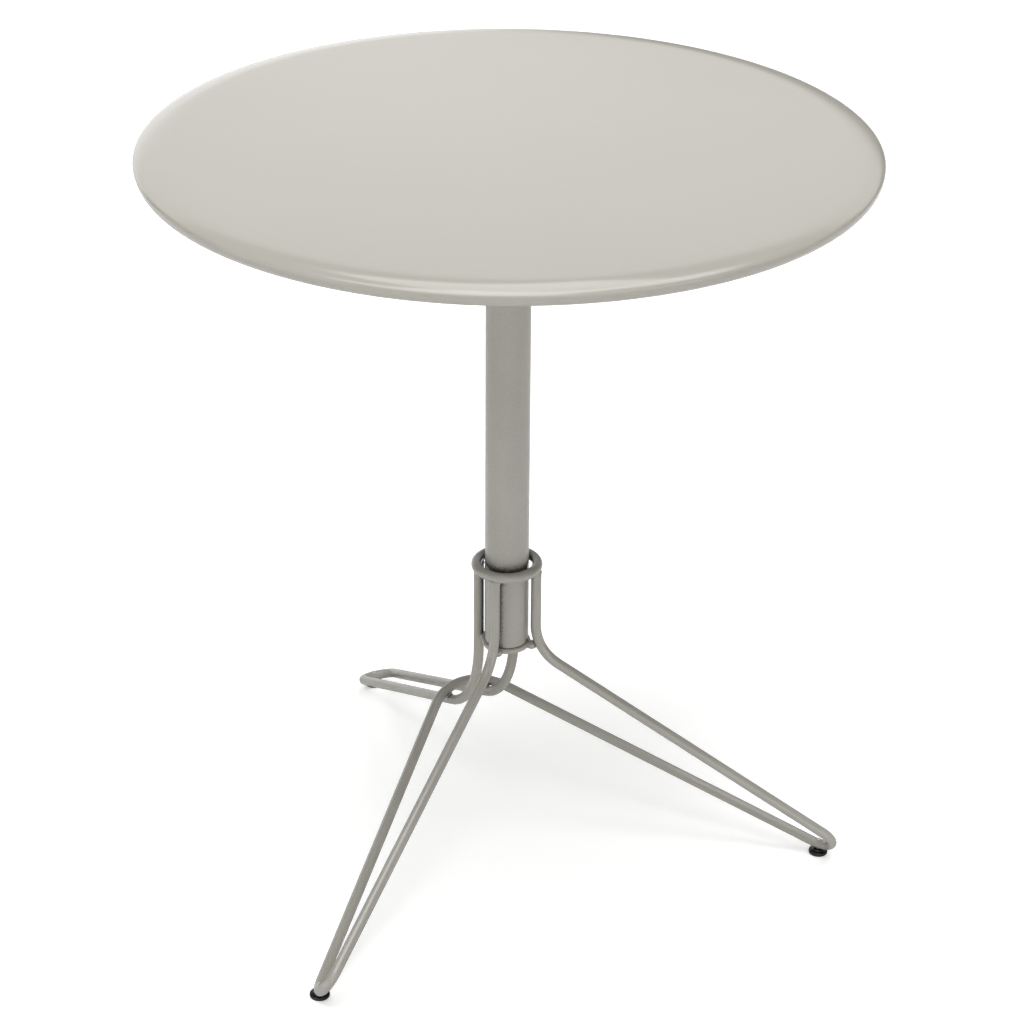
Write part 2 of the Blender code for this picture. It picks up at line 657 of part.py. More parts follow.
def make_washers():
    """One washer outside each ear."""
    bore = BOLT_RADIUS + GAP
    half = WASHER_THICK / 2
    ring = [(bore, half), (WASHER_RADIUS, half), (WASHER_RADIUS, -half), (bore, -half)]
    made = []
    for name, side in (("head", -1), ("cam", 1)):
        x = side * (EAR_OUTER + GAP + half)
        made.append(turned(f"{name}_washer", ring, ZINC, steps=32, centre=(x, 0, PIVOT_Z), axis="X"))
    return made


def make_cam_pin():
    length = 2 * (CHEEK_OUTER + PIN_PROUD)
    return cylinder("cam_pin", CAM_PIN_RADIUS, length, (CAM_PIN_X, 0, PIVOT_Z), ZINC, sides=20)


def make_storage_buffer():
    """Rubber buffer that meets the post when the top hangs upright."""
    low = PIVOT_Z + POST_RADIUS + BUFFER_REACH
    high = PLATE_BOTTOM - GAP
    return cylinder("storage_buffer", PAD_RADIUS - PAD_TAPER, high - low, (0, BUFFER_Y, (high + low) / 2),
                    BLACK_RUBBER, sides=24, radius_end=PAD_RADIUS)


# ---------------------------------------------------------------- clamping lever
CAM_MIDDLE = CAM_PIN_X - CAM_OFFSET


def between(outer, inner, spread=0.0, start=0.0, overrun=0.0):
    """Outline between an arm's two edges, from start on, widened by spread and longer by overrun."""
    far = outer[-1][0]
    points = []
    for edge, out in ((outer, spread), (inner[::-1], -spread)):
        for along, distance in edge:
            if along >= start:
                points.append((CAM_MIDDLE + distance + out, along + (overrun if along == far else 0.0)))
    return points


def make_lever():
    """Forked cam lever: two round cheeks, a web that joins them, and a flat arm."""
    height = CHEEK_OUTER - CHEEK_INNER
    place = Matrix.Translation((0, 0, PIVOT_Z))
    lever = prism("clamp_lever", between(ARM_OUTER, ARM_INNER), ARM_THICK, place, CAST)
    for side in (-1, 1):
        z = PIVOT_Z + side * (CHEEK_OUTER + CHEEK_INNER) / 2
        cheek = cylinder("cheek", CAM_RADIUS, height, (CAM_MIDDLE, 0, z), CAST, sides=36)
        x = CAM_MIDDLE + BRIDGE_SHIFT
        bridge = box("bridge", (x - BRIDGE_X / 2, 0, z - height / 2),
                     (x + BRIDGE_X / 2, BRIDGE_Y, z + height / 2), CAST)
        lever = join(lever, cheek, bridge)
    return cut(lever, drill(CAM_PIN_RADIUS + GAP, 4 * CHEEK_OUTER, (CAM_PIN_X, 0, PIVOT_Z), CAST))


def make_grip():
    """Moulded sleeve over the end of the lever's arm, with a slot that the arm fills."""
    place = Matrix.Translation((0, 0, PIVOT_Z))
    grip = prism("lever_grip", between(GRIP_OUTER, GRIP_INNER), GRIP_THICK, place, BLACK_PLASTIC)
    slot = prism("slot", between(ARM_OUTER, ARM_INNER, FINE_GAP, SLOT_START, GAP), ARM_THICK + 2 * GAP, place,
                 BLACK_PLASTIC, collection=cutters)
    return cut(grip, slot)


# ---------------------------------------------------------------- assembly
def pivot_empty(name, place):
    empty = bpy.data.objects.new(name, None)
    empty.location = place
    parts.objects.link(empty)
    return empty


def hang_on(empty, pieces):
    """Parent pieces to an empty on their joint's axis without moving them."""
    bpy.context.view_layer.update()
    for piece in pieces:
        place = piece.matrix_world.copy()
        piece.parent = empty
        piece.matrix_parent_inverse = empty.matrix_world.inverted()
        piece.matrix_world = place


def build():
    make_pair_rod()
    make_single_rod()
    make_rings()
    make_glides()
    make_post()
    make_head()
    make_rest_bumper()
    make_bushes()

    tilt = pivot_empty("tilt_axis", (0, 0, PIVOT_Z))
    top = [make_table_top(), make_hinge_plate(), make_storage_buffer(), make_pivot_bolt(), make_cam_pin()]
    hang_on(tilt, top + make_rails() + make_plate_fasteners() + make_washers())

    clamp = pivot_empty("clamp_axis", (CAM_PIN_X, 0, PIVOT_Z))
    hang_on(tilt, [clamp])
    hang_on(clamp, [make_lever(), make_grip()])


build()
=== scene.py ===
"""Looks of the bistro table: fine surfaces, welds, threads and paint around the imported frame.

Metres, +Z up, in the frame of the CAD model: the origin is on the floor under the post,
the single leg points to +Y, and the top tips about the bolt that lies along X.
"""

import json
import math

import bmesh
import bpy
from mathutils import Matrix, Vector, noise


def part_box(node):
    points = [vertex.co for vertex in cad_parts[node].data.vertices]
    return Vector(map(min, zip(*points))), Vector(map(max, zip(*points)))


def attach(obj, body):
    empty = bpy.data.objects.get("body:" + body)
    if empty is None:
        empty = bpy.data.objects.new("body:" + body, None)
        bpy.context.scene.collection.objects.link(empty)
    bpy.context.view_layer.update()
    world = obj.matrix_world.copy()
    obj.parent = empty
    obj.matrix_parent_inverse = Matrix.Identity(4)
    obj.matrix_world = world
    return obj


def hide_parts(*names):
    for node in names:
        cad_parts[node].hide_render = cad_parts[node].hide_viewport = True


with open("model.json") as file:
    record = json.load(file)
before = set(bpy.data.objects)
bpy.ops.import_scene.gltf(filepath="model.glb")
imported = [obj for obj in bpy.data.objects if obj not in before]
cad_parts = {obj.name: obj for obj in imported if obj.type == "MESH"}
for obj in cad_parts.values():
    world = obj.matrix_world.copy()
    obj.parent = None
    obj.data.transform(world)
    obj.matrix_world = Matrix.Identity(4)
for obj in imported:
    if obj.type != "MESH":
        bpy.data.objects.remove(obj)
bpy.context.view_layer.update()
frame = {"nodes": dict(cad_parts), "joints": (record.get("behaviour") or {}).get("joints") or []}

# ---------------------------------------------------------------- places read from the frame
JOINTS = {joint["name"]: joint for joint in frame["joints"]}
TOP_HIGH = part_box("table_top")[1]
POST_LOW, POST_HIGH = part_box("post_tube")
UPPER_LOW, UPPER_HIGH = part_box("upper_ring")
LOWER_LOW, LOWER_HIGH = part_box("lower_ring")
PLATE_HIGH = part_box("hinge_plate")[1]
BOLT_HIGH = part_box("pivot_bolt")[1]
PIN_LOW, PIN_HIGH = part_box("cam_pin")

TABLE_HEIGHT = TOP_HIGH.z
TOP_RADIUS = TOP_HIGH.x
POST_RADIUS = POST_HIGH.x
PIVOT_Z = JOINTS["top_tilt"]["pos_m"][2]
CAM_X = JOINTS["clamp_lever"]["pos_m"][0]

# the same clearance as the CAD model keeps between touching pieces
GAP = 0.0003

# a matrix that stands an outline drawn in X and Y up in the Y-Z plane, thickened along X
STAND = Matrix(((0, 0, 1, 0), (1, 0, 0, 0), (0, 1, 0, 0), (0, 0, 0, 1)))

# round rods of the base: the same rules and sizes as the CAD model's
ROD_RADIUS = (UPPER_HIGH.z - UPPER_LOW.z) / 2
CAGE_RADIUS = UPPER_HIGH.x - ROD_RADIUS
UPPER_RING_Z = (UPPER_HIGH.z + UPPER_LOW.z) / 2
LOWER_RING_WIRE = (LOWER_HIGH.z - LOWER_LOW.z) / 2
LOWER_RING_RADIUS = LOWER_HIGH.x - LOWER_RING_WIRE
LOWER_RING_Z = (LOWER_HIGH.z + LOWER_LOW.z) / 2

PAIR_UPRIGHT_AZIMUTH = math.radians(-41.0)
PAIR_BEND_Z = 0.2238
PAIR_BEND_RADIUS = 0.050
PAIR_FOOT_DISTANCE = 0.3109
PAIR_FOOT_AZIMUTH = math.radians(-32.46)
PAIR_FOOT_Z = 0.026
PAIR_FOOT_RADIUS = 0.0185
BRIDGE_CORNER = Vector((0.0, 0.1203, 0.1428))
BRIDGE_RADIUS = 0.052

SINGLE_UPRIGHT_AZIMUTH = math.radians(49.0)
SINGLE_BEND_Z = 0.148
SINGLE_BEND_RADIUS = 0.106
SINGLE_FOOT = Vector((0.0, 0.3134, 0.018))
SINGLE_FOOT_RADIUS = 0.018
HAIRPIN_FILL = 0.985

# ---------------------------------------------------------------- material helpers
class Nodes:
    """A small wrapper that adds and links shader nodes."""

    def __init__(self, name):
        self.material = bpy.data.materials.new(name)
        self.material.use_nodes = True
        self.tree = self.material.node_tree
        self.shader = self.tree.nodes["Principled BSDF"]
        self.place = self.add("ShaderNodeTexCoord").outputs["Object"]

    def add(self, kind, **settings):
        node = self.tree.nodes.new(kind)
        for key, value in settings.items():
            setattr(node, key, value)
        return node

    def link(self, source, target):
        self.tree.links.new(source, target)

    def noise(self, scale, detail=2.0, roughness=0.5, stretch=None):
        """A 3-D noise value; scale is in features per metre."""
        node = self.add("ShaderNodeTexNoise")
        node.inputs["Scale"].default_value = scale
        node.inputs["Detail"].default_value = detail
        node.inputs["Roughness"].default_value = roughness
        if stretch is None:
            self.link(self.place, node.inputs["Vector"])
        else:
            mapping = self.add("ShaderNodeMapping")
            mapping.inputs["Scale"].default_value = stretch
            self.link(self.place, mapping.inputs["Vector"])
            self.link(mapping.outputs["Vector"], node.inputs["Vector"])
        return node.outputs["Fac"]

    def span(self, value, low, high, start=0.0, end=1.0):
        """Map a 0 to 1 value onto low to high."""
        node = self.add("ShaderNodeMapRange")
        node.inputs["From Min"].default_value = start
        node.inputs["From Max"].default_value = end
        node.inputs["To Min"].default_value = low
        node.inputs["To Max"].default_value = high
        self.link(value, node.inputs["Value"])
        return node.outputs["Result"]

    def maths(self, operation, first, second):
        node = self.add("ShaderNodeMath", operation=operation)
        for socket, value in zip(node.inputs, (first, second)):
            if isinstance(value, (int, float)):
                socket.default_value = value
            else:
                self.link(value, socket)
        return node.outputs["Value"]

    def shades(self, value, dark, light):
        """A colour between two, by a 0 to 1 value; each is a colour or another node's output."""
        node = self.add("ShaderNodeMix", data_type="RGBA")
        for slot, shade in ((6, dark), (7, light)):
            if isinstance(shade, tuple):
                node.inputs[slot].default_value = (*shade, 1.0)
            else:
                self.link(shade, node.inputs[slot])
        self.link(value, node.inputs[0])
        return node.outputs[2]

    def colour(self, source):
        self.link(source, self.shader.inputs["Base Color"])

    def rough(self, source):
        self.link(source, self.shader.inputs["Roughness"])

    def bump(self, height, distance, strength=1.0):
        node = self.add("ShaderNodeBump")
        node.inputs["Distance"].default_value = distance
        node.inputs["Strength"].default_value = strength
        self.link(height, node.inputs["Height"])
        self.link(node.outputs["Normal"], self.shader.inputs["Normal"])


# painted shade in tight gaps: how open a point is to its surroundings where the painted shade is darkest and
# where it ends, and how dark the darkest painted shade is beside the plain colour
PAINTED_SHADE_DARKEST = 0.40
PAINTED_SHADE_END = 0.72
PAINTED_SHADE_COLOUR = 0.16


def scaled(colour, factor):
    return tuple(c * factor for c in colour)


def powder_coat(name, colour, roughness, grain, mottle, painted_shade_reach):
    """Satin powder coat: soft mottling, fine sandy speckle, and painted shade that darkens the colour in
    tight gaps.

    grain is the depth of the surface texture, and the shade reach the width of a gap that gets painted
    shade, in metres; mottle is how far the colour wanders, as a fraction.
    """
    n = Nodes(name)
    cloud = n.span(n.noise(9.0, detail=3.0, roughness=0.55), 0.0, 0.5, 0.3, 0.7)
    speck = n.span(n.noise(750.0, detail=2.0), 0.0, 0.5, 0.28, 0.72)
    blend = n.maths("ADD", cloud, speck)
    paint = n.shades(blend, scaled(colour, 1.0 - mottle), scaled(colour, 1.0 + mottle))
    # painted shade: the colour goes dark where other surfaces come near, with the speckle roughening its
    # edge
    near = n.add("ShaderNodeAmbientOcclusion", samples=12)
    near.inputs["Distance"].default_value = painted_shade_reach
    openness = n.maths("ADD", near.outputs["AO"], n.span(speck, -0.10, 0.10, 0.0, 0.5))
    lit = n.span(openness, 0.0, 1.0, start=PAINTED_SHADE_DARKEST, end=PAINTED_SHADE_END)
    n.colour(n.shades(lit, scaled(colour, PAINTED_SHADE_COLOUR), paint))
    n.rough(n.span(n.noise(240.0, detail=2.0), roughness - 0.012, roughness + 0.012, 0.3, 0.7))
    peel = n.maths("ADD", n.maths("MULTIPLY", n.noise(330.0, detail=1.0), 0.5),
                   n.maths("MULTIPLY", n.noise(800.0, detail=1.0), 0.5))
    n.bump(peel, grain)
    return n.material


def zinc_plate(name, colour):
    """Bright zinc over pressed or turned steel: faint cloudy spangle and fine rubbing."""
    n = Nodes(name)
    n.shader.inputs["Metallic"].default_value = 1.0
    n.colour(n.shades(n.noise(160.0, detail=4.0, roughness=0.6), scaled(colour, 0.80), scaled(colour, 1.12)))
    n.rough(n.span(n.noise(420.0, detail=3.0), 0.24, 0.42, 0.3, 0.7))
    n.bump(n.noise(900.0, detail=2.0, stretch=(1.0, 0.25, 1.0)), 0.00006)
    return n.material


def cast_metal(name, colour):
    """Tumbled die-cast alloy: softly pitted, its colour wandering brighter and darker at random."""
    n = Nodes(name)
    n.shader.inputs["Metallic"].default_value = 1.0
    n.colour(n.shades(n.noise(240.0, detail=5.0, roughness=0.6), scaled(colour, 0.82), scaled(colour, 1.10)))
    n.rough(n.span(n.noise(700.0, detail=2.0), 0.38, 0.56, 0.3, 0.7))
    n.bump(n.maths("ADD", n.noise(1200.0, detail=2.0), n.noise(300.0, detail=1.0)), 0.00012)
    return n.material


def moulded_plastic(name, colour, roughness, texture, grain):
    """Injection-moulded plastic: texture is the depth of its grain, grain its features per metre."""
    n = Nodes(name)
    n.colour(n.shades(n.noise(90.0, detail=2.0), scaled(colour, 0.85), scaled(colour, 1.2)))
    n.rough(n.span(n.noise(500.0, detail=2.0), roughness - 0.04, roughness + 0.06, 0.3, 0.7))
    n.bump(n.noise(grain, detail=2.0), texture)
    return n.material


# one clay paint in two copies: the top's is painted about 5 per cent lighter than the base's, as painted
# light for the brighter light on the top
CLAY = (0.375, 0.362, 0.322)
CLAY_BASE = (0.357, 0.345, 0.308)
STEEL = (0.60, 0.60, 0.585)
ALLOY = (0.50, 0.50, 0.49)
POLISHED_BLACK = (0.012, 0.012, 0.014)
GRIP_COLOUR = (0.016, 0.016, 0.017)
NATURAL_WHITE = (0.70, 0.69, 0.63)
RUBBER_COLOUR = (0.020, 0.020, 0.020)

# each clay paint below gets painted shade in gaps narrower than its shade reach
PAINT_TOP = powder_coat("clay_paint_top", CLAY, roughness=0.14, grain=0.000004, mottle=0.012, painted_shade_reach=0.004)
PAINT_BASE = powder_coat("clay_paint_base", CLAY_BASE, roughness=0.17, grain=0.000025, mottle=0.090,
                         painted_shade_reach=0.0065)
PAINT_POST = powder_coat("clay_paint_post", CLAY_BASE, roughness=0.20, grain=0.000025, mottle=0.110,
                         painted_shade_reach=0.0120)
PAINT_WELD = powder_coat("clay_paint_weld", CLAY_BASE, roughness=0.26, grain=0.00004, mottle=0.090,
                         painted_shade_reach=0.0030)
ZINC = zinc_plate("zinc_plate", STEEL)
CAST = cast_metal("tumbled_cast_alloy", ALLOY)
GLOSS_BLACK = moulded_plastic("polished_black_plastic", POLISHED_BLACK, 0.16, texture=0.00002, grain=700.0)
GRIP_BLACK = moulded_plastic("textured_black_plastic", GRIP_COLOUR, 0.46, texture=0.00010, grain=1600.0)
NYLON = moulded_plastic("natural_nylon", NATURAL_WHITE, 0.40, texture=0.00003, grain=900.0)
RUBBER = moulded_plastic("black_rubber", RUBBER_COLOUR, 0.72, texture=0.00008, grain=1100.0)


# ---------------------------------------------------------------- mesh helpers
def smooth_mesh(mesh, angle=35.0):
    """Smooth shading, with edges sharper than the angle left crisp."""
    mesh.shade_smooth()
    mesh.set_sharp_from_angle(angle=math.radians(angle))


def piece(name, mesh, mat, body, nodes=(), angle=35.0):
    """Make a visible piece from a mesh in the row frame and hang it on a body."""
    mesh.materials.clear()
    mesh.materials.append(mat)
    smooth_mesh(mesh, angle)
    obj = bpy.data.objects.new(name, mesh)
    bpy.context.scene.collection.objects.link(obj)
    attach(obj, body)
    if nodes:
        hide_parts(*nodes)
    return obj


def baked(obj):
    """The evaluated mesh of a scratch object, in the row frame; the object is then removed."""
    bpy.context.view_layer.update()
    evaluated = obj.evaluated_get(bpy.context.evaluated_depsgraph_get())
    mesh = bpy.data.meshes.new_from_object(evaluated)
    mesh.transform(obj.matrix_world)
    bpy.data.objects.remove(obj, do_unlink=True)
    bm = bmesh.new()
    bm.from_mesh(mesh)
    bmesh.ops.remove_doubles(bm, verts=bm.verts, dist=0.000004)
    bmesh.ops.recalc_face_normals(bm, faces=bm.faces)
    bm.to_mesh(mesh)
    bm.free()
    return mesh


def scratch(name, data):
    """A short-lived object for modifiers to work on."""
    obj = bpy.data.objects.new(name, data)
    bpy.context.scene.collection.objects.link(obj)
    return obj


def turned_mesh(profile, steps=96, place=Matrix.Identity(4)):
    """A solid of revolution about Z from (radius, height) points, then put at place."""
    mesh = bpy.data.meshes.new("turned")
    points = [(radius, 0.0, height) for radius, height in profile]
    edges = [(i, i + 1) for i in range(len(points) - 1)]
    if profile[0][0] > 0.0:
        edges.append((len(points) - 1, 0))
    mesh.from_pydata(points, edges, [])
    obj = scratch("turned", mesh)
    screw = obj.modifiers.new("turn", "SCREW")
    screw.steps = steps
    screw.render_steps = steps
    screw.use_merge_vertices = True
    screw.merge_threshold = 0.00001
    obj.matrix_world = place
    return baked(obj)


def tube_mesh(path, radius, cyclic=False, resolution=6):
    """A round bar along a path of points."""
    curve = bpy.data.curves.new("bar", "CURVE")
    curve.dimensions = "3D"
    curve.bevel_depth = radius
    curve.bevel_resolution = resolution
    curve.use_fill_caps = not cyclic
    spline = curve.splines.new("POLY")
    spline.points.add(len(path) - 1)
    for point, place in zip(spline.points, path):
        point.co = (*place, 1.0)
    spline.use_cyclic_u = cyclic
    return baked(scratch("bar", curve))


def prism_mesh(outline, thickness, place=Matrix.Identity(4)):
    """A flat outline thickened about its own plane."""
    curve = bpy.data.curves.new("prism", "CURVE")
    curve.dimensions = "2D"
    curve.fill_mode = "BOTH"
    curve.extrude = thickness / 2
    spline = curve.splines.new("POLY")
    spline.points.add(len(outline) - 1)
    for point, (x, y) in zip(spline.points, outline):
        point.co = (x, y, 0.0, 1.0)
    spline.use_cyclic_u = True
    obj = scratch("prism", curve)
    obj.matrix_world = place
    return baked(obj)


def cylinder_mesh(radius, half, steps, place):
    """A plain round bar about the place's own Z, half its length each way."""
    return turned_mesh([(0.0, half), (radius, half), (radius, -half), (0.0, -half)], steps, place)


def box_mesh(size, centre):
    bm = bmesh.new()
    bmesh.ops.create_cube(bm, size=1.0)
    bmesh.ops.scale(bm, vec=Vector(size), verts=bm.verts)
    bmesh.ops.translate(bm, vec=Vector(centre), verts=bm.verts)
    mesh = bpy.data.meshes.new("box")
    bm.to_mesh(mesh)
    bm.free()
    return mesh


def combined(first, second, operation):
    """Exact Boolean of two meshes."""
    target = scratch("target", first)
    tool = scratch("tool", second)
    modifier = target.modifiers.new("cut", "BOOLEAN")
    modifier.operation = operation
    modifier.solver = "EXACT"
    modifier.object = tool
    mesh = baked(target)
    bpy.data.objects.remove(tool, do_unlink=True)
    return mesh


def union(*meshes):
    """All the meshes joined into one solid."""
    result = meshes[0]
    for mesh in meshes[1:]:
        result = combined(result, mesh, "UNION")
    return result


def minus(mesh, *tools):
    """The mesh with the tools cut out of it."""
    for tool in tools:
        mesh = combined(mesh, tool, "DIFFERENCE")
    return mesh


def softened(mesh, voxel, rounds):
    """Melt a joined shape into one cast-looking skin with small even fillets."""
    obj = scratch("soft", mesh)
    remesh = obj.modifiers.new("remesh", "REMESH")
    remesh.mode = "VOXEL"
    remesh.voxel_size = voxel
    smooth = obj.modifiers.new("smooth", "SMOOTH")
    smooth.factor = 0.5
    smooth.iterations = rounds
    return baked(obj)


def bevelled(mesh, width, segments=3, angle=40.0):
    """The mesh with its edges sharper than the angle rounded off."""
    obj = scratch("bevelled", mesh)
    bevel = obj.modifiers.new("bevel", "BEVEL")
    bevel.width = width
    bevel.segments = segments
    bevel.limit_method = "ANGLE"
    bevel.angle_limit = math.radians(angle)
    bevel.use_clamp_overlap = True
    return baked(obj)


def turn_to(axis, centre):
    """A placing matrix whose local Z points along a world axis."""
    turn = {
        "Z": Matrix.Identity(4),
        "X": Matrix.Rotation(math.radians(90), 4, "Y"),
        "-X": Matrix.Rotation(math.radians(-90), 4, "Y"),
        "-Z": Matrix.Rotation(math.radians(180), 4, "X"),
    }[axis]
    return Matrix.Translation(centre) @ turn


def arc(centre_r, centre_z, width, height, start, end, count):
    """Points of an ellipse from one angle to another, as (radius, height)."""
    points = []
    for i in range(count + 1):
        angle = math.radians(start + (end - start) * i / count)
        points.append((centre_r + width * math.cos(angle), centre_z + height * math.sin(angle)))
    return points


# ---------------------------------------------------------------- path helpers
def mirrored(point):
    """The same point on the other side of X = 0."""
    return Vector((-point.x, point.y, point.z))


def around(radius, azimuth, z):
    """A point at a radius and azimuth round the post."""
    return Vector((radius * math.cos(azimuth), radius * math.sin(azimuth), z))


def rounded_path(corners, radii, step=math.radians(4)):
    """Corner points joined by straight runs, each inner corner rounded to its radius."""
    path = [corners[0]]
    for before, corner, after, radius in zip(corners, corners[1:], corners[2:], radii[1:]):
        back = (before - corner).normalized()
        ahead = (after - corner).normalized()
        turn = math.pi - back.angle(ahead)
        centre = corner + (back + ahead).normalized() * (radius / math.cos(turn / 2))
        start = corner + back * radius * math.tan(turn / 2) - centre
        side = -back * radius
        count = max(3, round(turn / step))
        for i in range(count + 1):
            angle = turn * i / count
            path.append(centre + start * math.cos(angle) + side * math.sin(angle))
    path.append(corners[-1])
    return path


def hairpin_corners(first, second, centre, radius):
    """Two corners of a hairpin whose wires start at first and second and clear a round end."""
    along = (centre - (first + second) / 2).normalized()
    normal = (first - centre).cross(second - centre).normalized()
    across = normal.cross(along)
    if across.dot(first - second) < 0.0:
        across.negate()
    corners = []
    for start, side in ((first, across), (second, -across)):
        to_centre = centre - start
        heading = to_centre.normalized()
        sideways = (side - heading * side.dot(heading)).normalized()
        spread = math.asin(radius / to_centre.length)
        direction = heading * math.cos(spread) + sideways * math.sin(spread)
        reach = (centre + along * radius - start).dot(along) / direction.dot(along)
        corners.append(start + direction * reach)
    return corners


def ring_path(radius, z, count):
    """A closed circle of points round the post."""
    return [around(radius, 2 * math.pi * i / count, z) for i in range(count)]


# ---------------------------------------------------------------- base
PAIR_BEND = around(CAGE_RADIUS, PAIR_UPRIGHT_AZIMUTH, PAIR_BEND_Z)
PAIR_FOOT = around(PAIR_FOOT_DISTANCE, PAIR_FOOT_AZIMUTH, PAIR_FOOT_Z)
SINGLE_BEND = around(CAGE_RADIUS, SINGLE_UPRIGHT_AZIMUTH, SINGLE_BEND_Z)
UPRIGHT_TOP = UPPER_RING_Z - ROD_RADIUS - GAP


def pair_path():
    """Centre line of the rod that makes both front legs."""
    outer, inner = hairpin_corners(PAIR_BEND, BRIDGE_CORNER, PAIR_FOOT, PAIR_FOOT_RADIUS)
    top = Vector((PAIR_BEND.x, PAIR_BEND.y, UPRIGHT_TOP))
    half = [top, PAIR_BEND, outer, inner]
    corners = half + [BRIDGE_CORNER] + [mirrored(p) for p in reversed(half)]
    end = PAIR_FOOT_RADIUS * HAIRPIN_FILL
    radii = [0.0, PAIR_BEND_RADIUS, end, end, BRIDGE_RADIUS, end, end, PAIR_BEND_RADIUS, 0.0]
    return rounded_path(corners, radii)


def single_path():
    """Centre line of the rod that makes the rear leg."""
    right, left = hairpin_corners(SINGLE_BEND, mirrored(SINGLE_BEND), SINGLE_FOOT, SINGLE_FOOT_RADIUS)
    top = Vector((SINGLE_BEND.x, SINGLE_BEND.y, UPRIGHT_TOP))
    corners = [top, SINGLE_BEND, right, left, mirrored(SINGLE_BEND), mirrored(top)]
    end = SINGLE_FOOT_RADIUS * HAIRPIN_FILL
    radii = [0.0, SINGLE_BEND_RADIUS, end, end, SINGLE_BEND_RADIUS, 0.0]
    return rounded_path(corners, radii)


def make_rods():
    """The two bent rods and the two rings."""
    piece("pair_leg_rod", tube_mesh(pair_path(), ROD_RADIUS), PAINT_BASE, "base", ["leg_rod_pair"],
          angle=60)
    piece("single_leg_rod", tube_mesh(single_path(), ROD_RADIUS), PAINT_BASE, "base", ["leg_rod_single"],
          angle=60)
    piece("upper_collar_ring", tube_mesh(ring_path(CAGE_RADIUS, UPPER_RING_Z, 96), ROD_RADIUS, True),
          PAINT_BASE, "base", ["upper_ring"], angle=80)
    seat = tube_mesh(ring_path(LOWER_RING_RADIUS, LOWER_RING_Z, 80), LOWER_RING_WIRE, True)
    piece("lower_seat_ring", seat, PAINT_BASE, "base", ["lower_ring"], angle=80)


# half sizes of the welds, out from the post, round it and up
COLLAR_WELD = (0.0054, 0.0062, 0.0034)
SEAT_WELD = (0.0056, 0.0058, 0.0040)
BRIDGE_WELD = (0.0040, 0.0032, 0.0034)
SEAT_WELD_DROP = 0.0004
BRIDGE_WELD_TURN = 0.4
WELD_WANDER = 0.09


def weld_nugget(size, centre, azimuth, seed):
    """A lumpy weld under paint: a flattened blob whose surface wanders a little."""
    bm = bmesh.new()
    bmesh.ops.create_icosphere(bm, subdivisions=4, radius=1.0)
    for vert in bm.verts:
        wander = 1.0 + WELD_WANDER * noise.noise(vert.co * 2.1 + Vector((seed, 0, 0)))
        vert.co = Vector(tuple(a * b * wander for a, b in zip(vert.co, size)))
    bmesh.ops.rotate(bm, verts=bm.verts, cent=(0, 0, 0), matrix=Matrix.Rotation(azimuth, 3, "Z"))
    bmesh.ops.translate(bm, verts=bm.verts, vec=centre)
    mesh = bpy.data.meshes.new("weld")
    bm.to_mesh(mesh)
    bm.free()
    return mesh


def upright_azimuths():
    """Where the four uprights stand round the post."""
    half = (PAIR_UPRIGHT_AZIMUTH, SINGLE_UPRIGHT_AZIMUTH)
    return [*half, *(math.pi - a for a in half)]


def make_welds():
    """Paint-covered welds where the rods, the rings and the post meet."""
    def painted(name, mesh):
        piece(name, mesh, PAINT_WELD, "base", angle=80)

    seam_radius = (LOWER_RING_RADIUS + CAGE_RADIUS) / 2
    for number, azimuth in enumerate(upright_azimuths(), start=1):
        top = around(CAGE_RADIUS, azimuth, UPRIGHT_TOP + GAP / 2)
        painted(f"weld_collar_{number}", weld_nugget(COLLAR_WELD, top, azimuth, number))
        low = around(seam_radius, azimuth, LOWER_RING_Z - SEAT_WELD_DROP)
        painted(f"weld_seat_{number}", weld_nugget(SEAT_WELD, low, azimuth, number + 10))
    pair, single = dense(pair_path()), dense(single_path())
    for number, side in enumerate((-1, 1), start=1):
        place = nearest(pair, single, side)
        nugget = weld_nugget(BRIDGE_WELD, place, BRIDGE_WELD_TURN * side, number + 20)
        painted(f"weld_bridge_{number}", nugget)


def dense(path, step=0.002):
    """The same path with points at least every step."""
    points = []
    for a, b in zip(path, path[1:]):
        count = max(1, math.ceil((b - a).length / step))
        points += [a.lerp(b, i / count) for i in range(count)]
    return points


def nearest(first, second, side):
    """The middle of the closest approach of the two rods near the bridge, on one side."""
    first = [p for p in first if 0.012 < p.x * side < 0.06 and 0.05 < p.y < 0.13]
    second = [p for p in second if 0.012 < p.x * side and 0.05 < p.y < 0.13]
    a, b = min(((a, b) for a in first for b in second), key=lambda pair: (pair[0] - pair[1]).length)
    return (a + b) / 2


POST_WALL = 0.0020
POST_EDGE = 0.0004


def make_post():
    """The post: a tube with softly broken edges."""
    inner = POST_RADIUS - POST_WALL
    soft = POST_EDGE
    profile = arc(inner + soft, POST_HIGH.z - soft, soft, soft, 180, 90, 3)
    profile += arc(POST_RADIUS - soft, POST_HIGH.z - soft, soft, soft, 90, 0, 3)
    profile += arc(POST_RADIUS - soft, POST_LOW.z + soft, soft, soft, 0, -90, 3)
    profile += arc(inner + soft, POST_LOW.z + soft, soft, soft, -90, -180, 3)
    piece("post", turned_mesh(profile, steps=128), PAINT_POST, "base", ["post_tube"])


GLIDE_BORE = 0.0023
GLIDE_SINK = 0.0043
GLIDE_SINK_RIM = 0.0007
GLIDE_SINK_TOP = 0.0032
GLIDE_EDGE = 0.0009
GLIDE_DISC_TOP = 0.0034
GLIDE_BOSS = 0.0050
GLIDE_BOSS_EDGE = 0.0003
GLIDE_FILLET = 0.0004
SCREW_RADIUS = 0.0020
SCREW_END = 0.0008
SCREW_HEAD = 0.0039
SCREW_HEAD_Z = 0.0011
SCREW_FACE_Z = 0.0007
DRIVE_RADIUS = 0.0016
DRIVE_DEPTH = 0.0010


